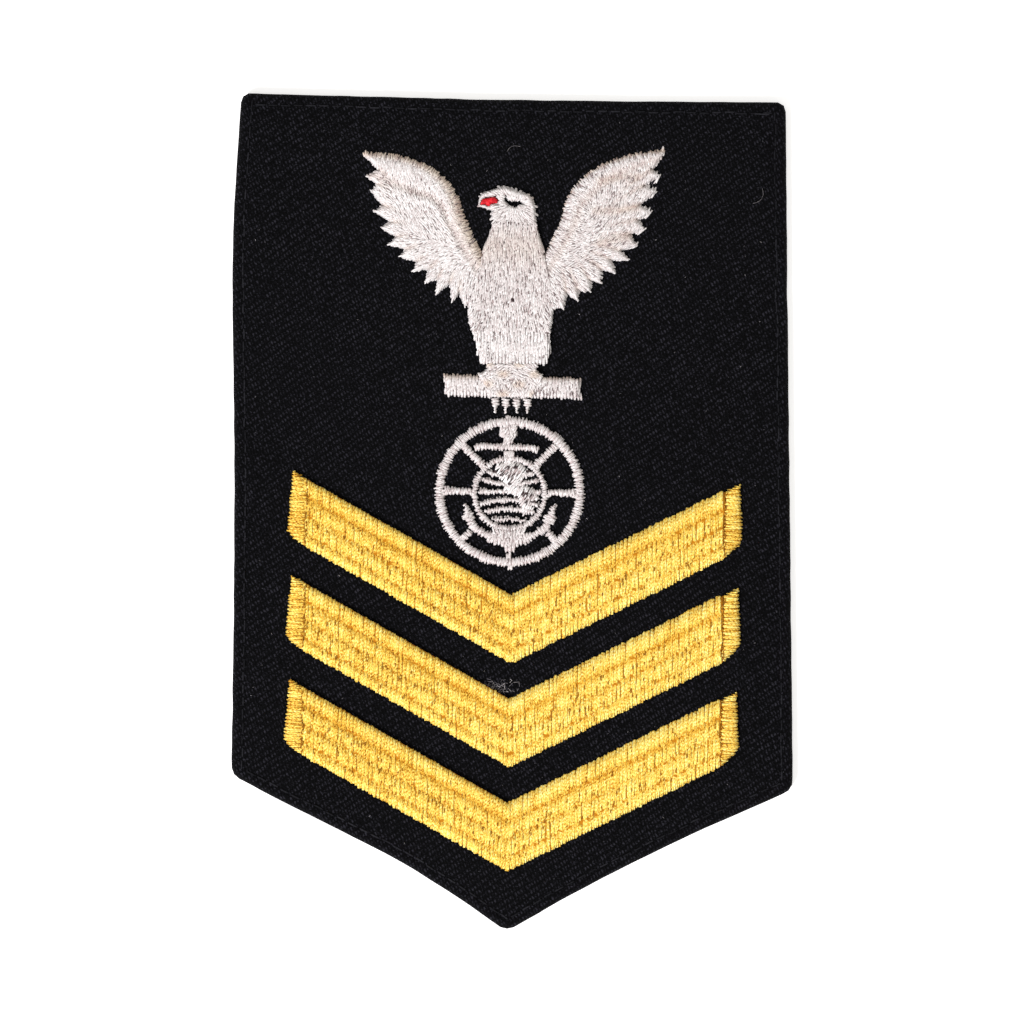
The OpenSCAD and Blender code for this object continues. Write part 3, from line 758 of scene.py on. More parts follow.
MATERIALS = {"serge": serge_material()}
thread_material(
    "white_thread", (0.44, 0.35, 0.345),
    [(0, (0.03, 0.012, 0.013)), (0.12, (0.31, 0.22, 0.22)), (0.3, (0.52, 0.445, 0.44)),
     (0.55, (0.63, 0.585, 0.575)), (0.8, (0.75, 0.725, 0.72)), (1, (0.88, 0.87, 0.865))],
    warm=(0.92, 0.81, 0.67), grain=1.45, rim=0.05)
thread_material(
    "gold_thread", (0.46, 0.17, 0.007),
    [(0, (0.21, 0.055, 0.002)), (0.12, (0.38, 0.14, 0.005)), (0.3, (0.68, 0.37, 0.036)),
     (0.45, (0.82, 0.51, 0.072)), (0.55, (0.88, 0.60, 0.105)), (0.7, (0.92, 0.71, 0.16)),
     (0.85, (0.95, 0.82, 0.25)), (1, (0.96, 0.90, 0.40))],
    warm=(0.86, 0.74, 0.5), grain=2.0, fleck=(2.7, 1.1), gloss=0.45, sheen=0.12, tint=(1, 0.72, 0.25, 1),
    rim=0.2)
thread_material(
    "red_thread", (0.22, 0.006, 0.010),
    [(0, (0.30, 0.004, 0.010)), (0.5, (0.62, 0.008, 0.018)), (1, (0.80, 0.03, 0.04))],
    grain=0.9, fleck=(2.0, 0.8), sheen=0.05, tint=(1, 0.4, 0.4, 1))
thread_material(
    "hem_thread", (0.003, 0.003, 0.004),
    [(0, (0.002, 0.002, 0.003)), (0.5, (0.006, 0.006, 0.008)), (1, (0.016, 0.016, 0.02))],
    gloss=0.1, rough=0.7, sheen=0.0)
thread_material(
    "lint", (0.2, 0.2, 0.2),
    [(0, (0.06, 0.06, 0.07)), (0.5, (0.14, 0.13, 0.14)), (1, (0.4, 0.38, 0.38))],
    gloss=0.2, rough=0.7, sheen=0.0)


def finish_piece(piece, node, kind="white_thread"):
    piece.build(node + "_stitched", kind, node)


# Cloth

# Thickness of a layer, how far in from the fold the hem is sewn, and how finely and how far in
# from the fold the cloth is modelled
LAYER = 1.0
HEM_LINE = 2.0
RIM_PITCH = 1.3
RIM_WIDTH = 4.2


def cloth_rings():
    """The CAD cloth's outline at half its height, where it is widest, and the hem's free edge."""
    bm = solid_mesh("ground_cloth")
    joined = {}
    for edge in bm.edges:
        if all(abs(v.co.z - FACE / 2 * MM) < SAME for v in edge.verts):
            for v in edge.verts:
                joined.setdefault(v, []).append(edge.other_vert(v))
    loops = []
    while joined:
        vert = next(iter(joined))
        loop = []
        while vert:
            loop.append(place_of(vert))
            vert = next((w for w in joined.pop(vert) if w in joined), None)
        loops.append(np.array(loop))
    bm.free()
    widest = max(loops, key=lambda loop: abs(area(loop)))
    return [loop if area(loop) > 0 else loop[::-1] for loop in (widest, outline("ground_cloth")[-1])]


def outward(ring):
    return side_of(unit(np.roll(ring, -1, axis=0) - np.roll(ring, 1, axis=0)))


def joined_rows(n, rows):
    """Faces between neighbouring rows of n points each, and from each row's end to its start."""
    a = np.arange(n)
    b = (a + 1) % n
    strip = np.column_stack([a + n, b + n, b, a])
    return np.concatenate([strip + r * n for r in range(rows - 1)])


def make_cloth():
    """One closed sheet: front, rounded fold, and the hem behind with its free edge."""
    ring, hem = (spaced(loop, RIM_PITCH, True)[0] for loop in cloth_rings())
    wobble = rng.normal(0, 1, (len(ring), 1))
    for _ in range(3):
        wobble = (np.roll(wobble, 1, axis=0) + wobble + np.roll(wobble, -1, axis=0)) / 3
    ring = ring + outward(ring) * (0.05 + 0.12 * np.abs(wobble))
    normal = outward(ring)
    outer = FACE / 2

    def relief(points):
        """The sewn groove, the roll of the fold outside it and the cloth's unevenness."""
        gap = gap_to(points, ring, np.roll(ring, -1, axis=0))
        return drape(points) + 0.10 * bell(gap, 1.1, 0.5) - 0.14 * bell(gap, HEM_LINE, 0.45)

    def folded(degrees, radius):
        """Rows of points round the fold, at a radius about the middle of its height."""
        for a in np.radians(degrees):
            flat = ring + normal * (outer - radius * math.cos(a))
            yield np.column_stack([flat, np.full(len(ring), outer + radius * math.sin(a))])

    outside = list(folded(np.arange(90, -91, -20), outer))
    within = list(folded([-90, -30, 30, 90], outer - LAYER))
    edge = hem[::-1]
    points = []
    faces = []

    def put(block, group):
        faces.append(group + sum(len(other) for other in points))
        points.append(block)

    # The four flat surfaces, from the front's face to its back
    for row, inner, pitch, fine, height, up in (
            (outside[0], [], 2.2, 0.75, lambda p: FACE + relief(p), True),
            (outside[-1], [edge], 2.4, 1.6, steady(0), False),
            (within[0], [edge], 2.4, 1.6, steady(LAYER), True),
            (within[-1], [], 2.6, 1.6, lambda p: drape(p) + FACE - LAYER, False)):
        loops = [row[:, :2], *inner]
        spots = []
        for step, near, far in ((fine, fine * 0.5, RIM_WIDTH), (pitch, RIM_WIDTH, np.inf)):
            grid = grid_over(loops[0], step, 0.15)
            gap = depth(grid, loops)
            spots.append(grid[(gap > near) & (gap < far)])
        flat, tris = filled(loops, np.concatenate(spots), 1e-6)
        put(np.column_stack([flat, height(flat)]), tris if up else tris[:, ::-1])
    for row in outside:
        row[:, 2] += relief(row[:, :2]) * np.clip(row[:, 2] / FACE, 0, 1)
    for row in within:
        row[:, 2] += drape(row[:, :2]) * np.clip((row[:, 2] - LAYER) / (FACE - 2 * LAYER), 0, 1)
    ends = [np.column_stack([hem, np.full(len(hem), z)]) for z in (0, LAYER)]
    for rows in (outside, within, ends):
        put(np.concatenate(rows), joined_rows(len(rows[0]), len(rows)))
    cloth = as_object("serge_cloth", np.concatenate(points), faces, "serge", "ground_cloth")
    bm = bmesh.new()
    bm.from_mesh(cloth.data)
    bmesh.ops.remove_doubles(bm, verts=bm.verts, dist=3e-6)
    bmesh.ops.recalc_face_normals(bm, faces=bm.faces)
    bm.to_mesh(cloth.data)
    cut = sum(f.calc_area() for f in bm.faces) / 2
    bm.free()
    return cloth, ring, normal, cut


cloth, rim_ring, rim_normal, cut_area = make_cloth()


def sew_hem():
    """Hem stitches, with one long end near the upper right corner."""
    piece = Piece()
    points, heading = spaced(rim_ring + rim_normal * HEM_LINE, 2.3, True)
    points = points + side_of(heading) * pick(-0.12, 0.12, (len(points), 1))
    half = heading * pick(0.75, 0.95, (len(points), 1))
    flat = steady(-0.02)
    piece.strew(points - half, points + half, flat, 0.6, 0.3, 0.34, None, 0, thick=0.1, dip=0.1)
    corner = rim_ring[np.argmax(rim_ring[:, 0] + rim_ring[:, 1])]
    start = corner + np.array([[-2.6, -1.7]])
    piece.sew(start, start + np.array([[-2.7, 0.1]]), flat, 1.0, 0.3, 0.14)
    return piece.build("hem_stitches", "hem_thread")


def strew_lint():
    """Fine pale fibres and specks of fluff on the cloth."""
    piece = Piece()
    at = pick(rim_ring.min(axis=0) + 4, rim_ring.max(axis=0) - 4, (900, 2))
    specks = at[depth(at, [rim_ring]) > 3][:150]
    way = ways(pick(0, math.pi, len(specks))) * pick(0.08, 0.2, (len(specks), 1))
    piece.sew(specks - way, specks + way, steady(0), tones(len(specks), 0.45, 0.45),
              pick(0.05, 0.1, len(specks)), 0.05, rise=0.02, dip=0)
    shares = np.linspace(-1, 1, 7)
    for place, turn, bend, length in (((44.2, 57.9), 60, 0.9, 3.2), ((-1.2, 66.6), 20, -0.6, 2.6),
                                      ((-19.5, 58.2), 55, 0.5, 2.0), ((24.0, 60.5), 140, 0.8, 2.4)):
        curve = np.column_stack([shares * length / 2, bend * shares ** 2])
        curve = turned(curve, turn) + np.array(place)
        piece.sew(curve[:-1], curve[1:], steady(0), 0.6, 0.07, 0.06, rise=0.04, dip=0)
    fluff = np.array([-2.0, -31.6]) + rng.normal(0, 1, (70, 2)) * np.array([1.9, 0.7])
    way = ways(pick(0, math.pi, 70)) * pick(0.15, 0.5, (70, 1))
    piece.strew(fluff - way, fluff + way, steady(0), 0.5, 0.4, 0.1, None, 0.03, thick=0.05, dip=0)
    return piece.build("lint", "lint")


extras = [sew_hem(), strew_lint()]


# Eagle

# Directions over a wing: across its box, up its box, degrees anticlockwise from level
LEFT_FIELD = [
    (0.16, 0.95, 95), (0.40, 0.81, 100), (0.575, 0.73, 112), (0.37, 0.60, 112), (0.575, 0.53, 122),
    (0.71, 0.47, 130), (0.81, 0.38, 20), (0.65, 0.355, 28), (0.48, 0.31, 25), (0.71, 0.21, 50),
    (0.83, 0.13, 75), (0.865, 0.04, 100), (0.07, 0.85, 165), (0.11, 0.725, 140), (0.14, 0.605, 160),
    (0.20, 0.51, 165), (0.265, 0.405, 5), (0.35, 0.32, 15), (0.45, 0.24, 25), (0.55, 0.17, 40),
    (0.63, 0.10, 55), (0.75, 0.05, 70)]
RIGHT_FIELD = [
    (0.89, 0.94, 85), (0.66, 0.91, 98), (0.47, 0.86, 115), (0.29, 0.75, 130), (0.21, 0.65, 150),
    (0.18, 0.51, 160), (0.10, 0.40, 165), (0.70, 0.82, 75), (0.61, 0.77, 85), (0.75, 0.72, 60),
    (0.565, 0.68, 75), (0.66, 0.59, 62), (0.52, 0.55, 58), (0.47, 0.465, 45), (0.61, 0.44, 40),
    (0.38, 0.38, 28), (0.565, 0.345, 15), (0.29, 0.30, 30), (0.47, 0.26, 160), (0.34, 0.225, 150),
    (0.22, 0.155, 130), (0.14, 0.085, 125)]
# How many corners the leading edge has, which of them is the wrist, how far in the edge is rounded,
# where the second ridge lies, as a share of the furrow's distance, and the threads in a feather's hook
LEAD_POINTS = 19
WRIST_POINT = 12
EDGE_REACH = 2.2
SECOND_RIDGE = 1.32
HOOK = 6


def sew_wing(node, table, side, furrow, warm_reach, middle, fold, slits, loose, shaded=()):
    """Furrow is how far in from the leading edge the first furrow lies, from the tip to the root,
    and warm_reach how far in the tan painted shade reaches. Fold is how far the furrows between feathers
    run towards the wrist, as a share, slits how far apart the gaps along the first furrow are, loose
    how many gaps lie between the other threads and shaded the lines along which brown shade is painted."""
    region = region_of(node, "torso")
    loop = outline(node)[0]
    loop = np.roll(loop, -np.argmax(loop[:, 0] * side), axis=0)
    if np.linalg.norm(loop[1] - loop[0]) > np.linalg.norm(loop[-1] - loop[0]):
        loop = np.roll(loop[::-1], 1, axis=0)
    tips = loop[LEAD_POINTS + 1::2]
    notches = loop[LEAD_POINTS + 2::2]
    lead = loop[:LEAD_POINTS]
    lead = np.vstack([lead, lead[-1] + unit(lead[-1] - lead[-2]) * 2.5])
    wrist = lead[WRIST_POINT] + np.array([-side * 1.5, -6.0])
    plain = dome(region, bed_height(node) - 0.12, reach=0.7)
    run = np.linspace(0, 1, len(lead))
    direction = field(table, box_of(region.loops))
    piece = Piece()

    def eased(at, values):
        """Values spread evenly along the leading edge, read at shares of its length."""
        return np.interp(at, np.linspace(0, 1, len(values)), values)

    def from_lead(points):
        """Distance in from the leading edge, that as a share of the furrow's, and the tan's reach."""
        at = run[apart(points, lead).argmin(axis=1)]
        gap = gap_to(points, lead[:-1], lead[1:])
        return gap, gap / eased(at, furrow), eased(at, warm_reach)

    def between_feathers(points):
        """One in the furrows that run from the notches towards the wrist, and nothing off them."""
        fade = np.clip(1.1 - apart(points, notches).min(axis=1) / (14 * fold), 0.1, 1)
        return fade * bell(gap_to(points, notches, notches + (wrist - notches) * fold), 0, 0.4)

    def bed(points):
        gap, share, _ = from_lead(points)
        ridge = 0.20 * bell(share, 0.6, 0.25) + 0.12 * bell(share, SECOND_RIDGE, 0.14)
        z = plain(points) + (ridge - 0.22 * bell((share - 1) * gap / share, 0, 0.6))
        z = np.where(gap < EDGE_REACH, curved(np.clip(gap / EDGE_REACH, 0, 1), z), z)
        return np.maximum(z - 0.15 * between_feathers(points), 0.02)

    # Painted light and shade: tan and darker thread near the leading edge, in the furrow, between the
    # feathers and along the shaded lines, and lighter thread on the second ridge
    def look(points):
        gap, share, reach = from_lead(points)
        tan = np.clip(1.2 - gap / reach, 0, 1)
        groove = bell((share - 1) * gap / share, 0, 0.7)
        parted = between_feathers(points)
        brown = np.zeros(len(points))
        for line in np.array(shaded).reshape(-1, 2, 2):
            brown = np.maximum(brown, bell(gap_to(points, line[:1], line[1:]), 0, 0.75))
        lighter = 0.08 * bell(share, SECOND_RIDGE, 0.12) - 0.15 * groove - 0.2 * parted - 0.16 * tan
        return lighter - 0.15 * brown, np.clip(tan + 0.25 * groove + 0.4 * parted + 0.4 * brown, 0, 1)

    def lay(start, end, middle=middle, width=THREAD_W, spread=0.13):
        piece.strew(start, end, bed, middle, spread, width, look=look, shares=SHORT)

    def edge(points):
        return (from_lead(points)[0] > 0.3) & (apart(points, tips).min(axis=1) > 0.6)

    piece.slab(region, bed)
    lay(*scatter(region, direction, 1.5, 0.9, 0.21, lambda p: from_lead(p)[0] > 1.6, 0.2))
    lay(*fringe(region, direction, length=1.2, keep=edge, out=0.45))
    sew_tufts(piece, region, bed, direction, 0.8, 0.55, keep=edge, look=look, middle=middle)
    # A few more threads draw each feather out to a short hook
    for tip in tips:
        way = ways(direction(tip[None] + (wrist - tip) * 0.06)[0])
        way = unit(way * np.sign(way @ (tip - wrist)) + unit(tip - wrist) * 0.6)
        start = tip - way * pick(1.1, 1.9, (HOOK, 1)) + pick(-0.2, 0.2, (HOOK, 2))
        end = tip + way * pick(-0.45, 0.35, (HOOK, 1)) + pick(-0.16, 0.16, (HOOK, 2))
        lay(start, end, middle + 0.05, 0.34)
    # Short stitches square to the leading edge, in three ranks
    points, heading = (part[3:] for part in spaced(lead, 0.22))
    inward = side_of(heading) * side
    n = len(points)
    for rank in (0.0, 1.0, 2.0):
        start = points + inward * (rank - pick(-0.2, 0.25, (n, 1))) + heading * pick(-0.2, 0.2, (n, 1))
        far = start + inward * pick(1.0, 1.7, (n, 1)) + heading * pick(-0.55, 0.55, (n, 1))
        chosen = region.holds(points + inward * max(rank, 0.3))
        end = run_to_edge(start + inward * 0.3, far, region, 0.05)
        lay(start[chosen], end[chosen], spread=0.22)
    points, heading = spaced(lead[2:], slits)
    inward = side_of(heading) * side
    n = len(points)
    at = eased(np.linspace(2 / len(lead), 1, n), furrow)
    points = points + inward * (at[:, None] + rng.normal(0, 0.22, (n, 1)))
    chosen = region.depth(points) > 0.6
    angle = np.arctan2(inward[chosen, 1], inward[chosen, 0])
    sew_slits(piece, bed, points[chosen], angle, 0.6, 0.15, 0.15, 0.5)
    strew_slits(piece, region, bed, loose, direction, 0.6, 0.16, 0.12, 0.2,
                lambda p: np.clip(from_lead(p)[0] / 6, 0.15, 0.8))
    finish_piece(piece, node)


# The right wing's thread is a little darker than the left's: painted shade, as more light falls from the
# left
sew_wing("wing_left", LEFT_FIELD, -1, (3.6, 5.2, 5.4, 4.4, 3.2, 2.8, 2.3), (0.9, 1.1, 1.5, 2.2, 1.8),
         0.66, 0.2, 0.6, 50)
sew_wing("wing_right", RIGHT_FIELD, 1, (1.6, 2.4, 3.0, 3.2, 2.8, 2.4, 2.0), (0.5, 0.6, 0.15, 0.1, 0.1),
         0.62, 0.4, 0.75, 160,
         [(14.8, 60.6, 21.4, 61.5), (14.0, 55.0, 21.4, 55.7), (15.0, 49.4, 20.4, 50.5)])


def padded(node, by=(), sunk=0.0, reach=0.8):
    """A piece with a node's padding alone, the outline to sew and the bed for its threads."""
    region = region_of(node, *by)
    bed = dome(region, bed_height(node) - sunk, reach=reach)
    piece = Piece()
    piece.slab(region, bed)
    return piece, region, bed


def sew_strewn(node, direction, length, along, across, edge, reach=0.8, middle=0.55, spread=0.13,
               swing=0.12, kind="white_thread", extra=None, out=0.34, look=None, by=()):
    """Strews threads over a node along a direction, and shorter ones in from its edge."""
    piece, region, bed = padded(node, by, 0.05, reach)
    for start, end in (scatter(region, direction, length, along, across, swing=swing),
                       fringe(region, direction, PITCH, edge, out=out)):
        piece.strew(start, end, bed, middle, spread, look=look, shares=SHORT)
    if extra:
        extra(piece, region, bed)
    finish_piece(piece, node, kind)


torso_low, torso_high = box_of(outline("torso"))
SPOT = np.array([[-0.7, 38.6]])


def up_torso(points):
    """How far up the breast points are, as a share."""
    return (points[:, 1] - torso_low[1]) / (torso_high[1] - torso_low[1])


def torso_direction(points):
    share = (points[:, 0] - (torso_low[0] + torso_high[0]) / 2) / ((torso_high[0] - torso_low[0]) / 2)
    lean = np.interp(up_torso(points), [0, 0.12, 0.3, 0.55, 0.8, 1], [44, 34, 14, 10, 20, 26])
    return np.radians(90 + lean * np.clip(share * 1.1, -1, 1) ** 3)


def torso_extra(piece, region, bed):
    """Gaps that grow more common down the breast, and one dark spot."""
    strew_slits(piece, region, bed, 150, torso_direction, 0.6, 0.17, 0.1,
                chance=lambda p: np.clip(1.1 - up_torso(p), 0.15, 1))
    sew_slits(piece, bed, SPOT + [[-0.12, 0.05], [0, 0], [0.12, 0]], 1.75, 0.75, 0.4, -0.49)


def torso_look(points):
    """Painted shade, a little warmer and darker, below the neck, and painted light low down."""
    up = up_torso(points)
    neck = bell(up, 0.8, 0.17)
    return 0.06 * np.clip(1 - 3 * up, 0, 1) - 0.05 * neck, 0.3 * neck


sew_strewn("torso", torso_direction, 1.7, 1.05, 0.22, 1.3, middle=0.57, out=0.2, look=torso_look,
           extra=torso_extra, by=("head", "tail", "wing_left", "wing_right"))
EYE = np.array([-0.8, 56.3])


def head_direction(points):
    off = points - EYE
    return np.arctan2(off[:, 1], off[:, 0])


def crown_look(points):
    """Painted shade, warmer and darker, where the crown turns away from the light to the upper right."""
    off = points - EYE
    turned_away = np.clip((off[:, 0] + off[:, 1] - 3.2) / 2, 0, 1) * (off[:, 1] > -1.5)
    return -0.2 * turned_away, 0.7 * turned_away


def head_extra(piece, region, bed):
    """Tufts behind and below the face, and a row of gaps where the neck ends."""
    xs = np.linspace(-4.6, 2.4, 11) + pick(-0.2, 0.2, 11)
    neck = np.column_stack([xs, box_of(region.loops)[0, 1] + 0.3 + pick(-0.2, 0.2, 11)])
    sew_slits(piece, bed, neck, 1.5, 0.35, 0.24)
    behind = lambda p: (p[:, 0] > EYE[0] - 3) | (p[:, 1] < EYE[1] - 1.5)
    sew_tufts(piece, region, bed, head_direction, 0.8, 0.6, keep=behind, look=crown_look, middle=0.6)


sew_strewn("head", head_direction, 1.3, 0.8, 0.22, 1.1, 0.6, 0.62, out=0.3, look=crown_look,
           extra=head_extra, by=("torso",))
sew_strewn("beak", steady(math.radians(62)), 1.6, 1.2, 0.25, 1.2, 0.5, 0.5, 0.4, out=0.1,
           kind="red_thread")


def sew_satin(node, angle=90, pitch=PITCH, cut=None, ragged=0.08, lean=0.8, reach=0.8, middle=0.58,
              spread=0.17, dip=0.08, kind="white_thread", extra=None, width=THREAD_W, thick=THREAD_T,
              look=None, mess=0.0, by=()):
    """Lays threads side by side across a node. Mess is the share of them with an unruly one on top."""
    piece, region, bed = padded(node, by, reach=reach)
    start, end, _ = columns(region.loops, angle, pitch, cut, ragged, lean)
    piece.strew(start, end, bed, middle, spread, width, (0.85, 1.1), (-0.02, 0.04), thick=thick,
                dip=dip, look=look)
    ruffle(piece, start, end, mess, bed, middle, look)
    if extra:
        extra(piece, region, bed)
    finish_piece(piece, node, kind)


def ruffle(piece, start, end, mess, bed, middle, look=None, place=None, scale=1.0):
    """A few unruly threads on top of neat ones, each at a slant of its own."""
    stray = pick(0, 1, len(start)) < mess
    start = start[stray] / scale
    end = end[stray] / scale
    n = len(start)
    if n == 0:
        return
    way = unit(end - start)
    side = side_of(way)
    start = start - way * pick(-0.4, 0.1, (n, 1)) + side * pick(-0.3, 0.3, (n, 1))
    end = end + way * pick(-0.4, 0.1, (n, 1)) + side * pick(-0.3, 0.3, (n, 1))
    piece.strew(start, end, bed, middle, 0.2, 0.3, (0.7, 1.1), (0.02, 0.09), look=look, place=place,
                bow=0.12)


def tail_extra(piece, region, bed):
    """Needle holes down a seam at the left, and a thin line at the right."""
    ys = np.arange(27.0, 31.0, 0.55)
    sew_slits(piece, bed, np.column_stack([-5.0 + 0.05 * np.sin(ys * 3), ys]), 1.6, 0.25, 0.2)
    sew_slits(piece, bed, np.array([[6.0, 31.6], [6.1, 30.6], [6.15, 29.4]]), 1.5, 1.0, 0.14)
    strew_slits(piece, region, bed, 30, 1.6, 0.5, 0.14, 0.15)


def perch_extra(piece, region, bed):
    """Gaps, most of them low on the right."""
    low = box_of(region.loops)[0, 1] + 2.2
    strew_slits(piece, region, bed, 40, 1.6, 0.6, 0.17, 0.08,
                chance=lambda p: 0.12 + 0.88 * (p[:, 0] > 3) * (p[:, 1] < low))


def perch_look(points):
    """Painted shade, tan and darker, along the top of the perch, which faces away from the light."""
    edge = np.clip(1 - (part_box("perch")[1].y / MM - 0.1 - points[:, 1]) / 0.9, 0, 1)
    return -0.15 * edge, 0.8 * edge


sew_satin("tail", 90, cut=bricks(2.4), ragged=0.3, middle=0.70, spread=0.12, dip=0.05, width=0.46,
          thick=0.08, mess=0.25, extra=tail_extra, by=("torso", "legs"))
sew_satin("perch", 90, ragged=0.22, cut=bricks(1.9, 0.3), reach=1.0, middle=0.60, spread=0.12, dip=0.04,
          width=0.46, thick=0.09, mess=0.2, extra=perch_extra, look=perch_look)


def sew_legs():
    """Legs that rise from the cloth above the perch and run on over it."""
    region = Region(outline("legs", top=True), [outline("tail")])
    perch = outline("perch")
    rounded = dome(region, bed_height("legs") - 0.05, reach=0.5)

    def under(points):
        return np.where(depth(points, perch) > -0.15, height_of("perch"), 0.0)

    def bed(points):
        return np.maximum(rounded(points), under(points) + 0.02)

    def direction(points):
        wild = 0.6 * np.sin(points[:, 0] * 2.3) + 0.5 * np.sin(points[:, 1] * 3.1 + points[:, 0])
        lean = np.where(points[:, 0] < -0.4, 25, 155)
        return np.where(depth(points, perch) > 0.4, math.radians(90) + wild, np.radians(lean))

    def look(points):
        """Tan in places."""
        tan = np.sin(points[:, 0] * 1.1 + 0.8) * np.sin(points[:, 1] * 1.7 - 0.5)
        return -0.1 * np.clip(tan, 0, 1), np.clip(0.8 * tan, 0, 1)

    piece = Piece()
    piece.slab(region, bed, under=under, pitch=0.5)
    for start, end in (scatter(region, direction, 1.3, 0.8, 0.24, swing=0.35),
                       fringe(region, direction, PITCH, 1.1)):
        rise = pick(0, 0.12, len(start))
        piece.strew(start, end, bed, 0.6, vary=None, rise=rise, look=look, shares=SHORT)
    strew_slits(piece, region, bed, 14, lambda p: pick(0, math.pi, len(p)), 0.4, 0.16, 0.05)
    finish_piece(piece, "legs")


sew_legs()
for k in range(1, 5):
    sew_satin(f"talon_{k}", 0 if k % 2 else 8, 0.25, ragged=0.15, reach=0.4, middle=0.62, width=0.36)


# Round mark

def ring_of(node):
    """A ring's centre and its inner and outer radius."""
    centre = np.array([corner[:2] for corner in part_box(node)]).mean(axis=0) / MM
    flat = np.array([v.co[:2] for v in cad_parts[node].data.vertices]) / MM
    far = np.linalg.norm(flat - centre, axis=1)
    return centre, far.min(), far.max()


COMPASS, compass_in, compass_out = ring_of("compass_ring")
GLOBE, globe_in, globe_out = ring_of("globe_ring")
RING_SIDES = 96


def sew_ring(centre, inner, outer, high):
    """Threads across a ring all round it. They are laid out by angle and radius, then placed."""
    middle = (inner + outer) / 2
    half = (outer - inner) / 2

    def bed(points):
        off = np.abs(np.linalg.norm(points - centre, axis=1) - middle) / half
        return 0.03 + (high - 0.03) * np.sqrt(np.clip(1 - off ** 2, 0, 1))

    def place(points):
        return centre + ways(points[:, 0]) * points[:, 1:]

    piece = Piece()
    circle = ways(np.linspace(0, 2 * math.pi, RING_SIDES, endpoint=False))
    piece.slab(Region([centre + circle * outer, centre + circle * inner]), bed, pitch=0.5)
    n = round(2 * math.pi * middle / PITCH / 2) * 2
    angle = np.arange(n) * 2 * math.pi / n + pick(-0.3, 0.3, n) * PITCH / middle
    lean = PITCH / middle * (0.3 * np.where(np.arange(n) % 2, 1, -1) + pick(-0.5, 0.5, n))
    start = np.column_stack([angle - lean, inner + pick(-0.14, 0.2, n)])
    end = np.column_stack([angle + lean, outer + pick(-0.22, 0.2, n)])
    piece.strew(start, end, bed, 0.55, vary=(0.68, 0.95), rise=0, place=place)
    unrolled = np.array([1 / middle, 1])
    ruffle(piece, start, end, 0.4, bed, 0.55, None, lambda points: place(points * unrolled), unrolled)
    return piece


def sew_knot(piece, at, degrees, width, length, high, count=7):
    """Strands laid over a joint, along a direction, where two pieces run into each other."""
    way = ways(math.radians(degrees))
    places = at + side_of(way) * pick(-width / 2, width / 2, (count, 1))
    lean = side_of(way) * pick(-0.2, 0.2, (count, 1))
    start = places - way * length * pick(0.4, 0.6, (count, 1)) - lean
    end = places + way * length * pick(0.4, 0.6, (count, 1)) + lean
    piece.strew(start, end, steady(high), 0.55, width=0.34, vary=None, rise=(-0.08, 0.02), dip=0.3)


def on_ring(centre, radius, degrees):
    return centre + radius * ways(math.radians(degrees))


# Where each spoke meets the rings, in degrees from the right
SPOKES = {"left": 180, "right": 0, "upper_left": 136, "upper_right": 46.3, "lower_left": 225.9,
          "lower_right": 314.2}
mark_high = bed_height("compass_ring") - 0.1
piece = sew_ring(COMPASS, compass_in, compass_out, bed_height("compass_ring"))
for name, degrees in SPOKES.items():
    wide = 1.5 if name in ("left", "right") else 1.0
    sew_knot(piece, on_ring(COMPASS, compass_in + 0.1, degrees), degrees, wide, 1.3, mark_high)
# The anchor's joints at the top and bottom, and bumps where the ring's sewing starts and ends
for radius, bearing, wide, length, sunk, count in (
        (compass_in + 0.3, 92.5, 2.6, 1.6, 0.0, 14), (compass_in, 270.3, 0.9, 1.4, 0.1, 8),
        (compass_out - 0.2, 92.5, 1.1, 1.0, 0.15, 7), (compass_out - 0.1, 270.3, 1.2, 1.2, 0.2, 7)):
    at = on_ring(COMPASS, radius, bearing)
    sew_knot(piece, at, int(bearing), wide, length, mark_high - sunk, count)
finish_piece(piece, "compass_ring")
piece = sew_ring(GLOBE, globe_in, globe_out, bed_height("globe_ring"))
for name in ("left", "right", "upper_left", "upper_right"):
    sew_knot(piece, on_ring(GLOBE, globe_out - 0.1, SPOKES[name]), SPOKES[name], 0.9, 1.1, mark_high, 5)
sew_knot(piece, on_ring(GLOBE, globe_out, 92.5), 92, 1.8, 1.6, mark_high, 10)
finish_piece(piece, "globe_ring")

for name, degrees in SPOKES.items():
    sew_satin("spoke_" + name, degrees - 90, reach=0.6, ragged=0.14, middle=0.52, mess=0.4,
              by=("compass_ring", "globe_ring"))
for k in range(1, 7):
    sew_satin(f"latitude_{k}", 98, pitch=0.26, ragged=0.4 if k == 6 else 0.28, reach=0.4, middle=0.56,
              mess=0.7, width=0.36)


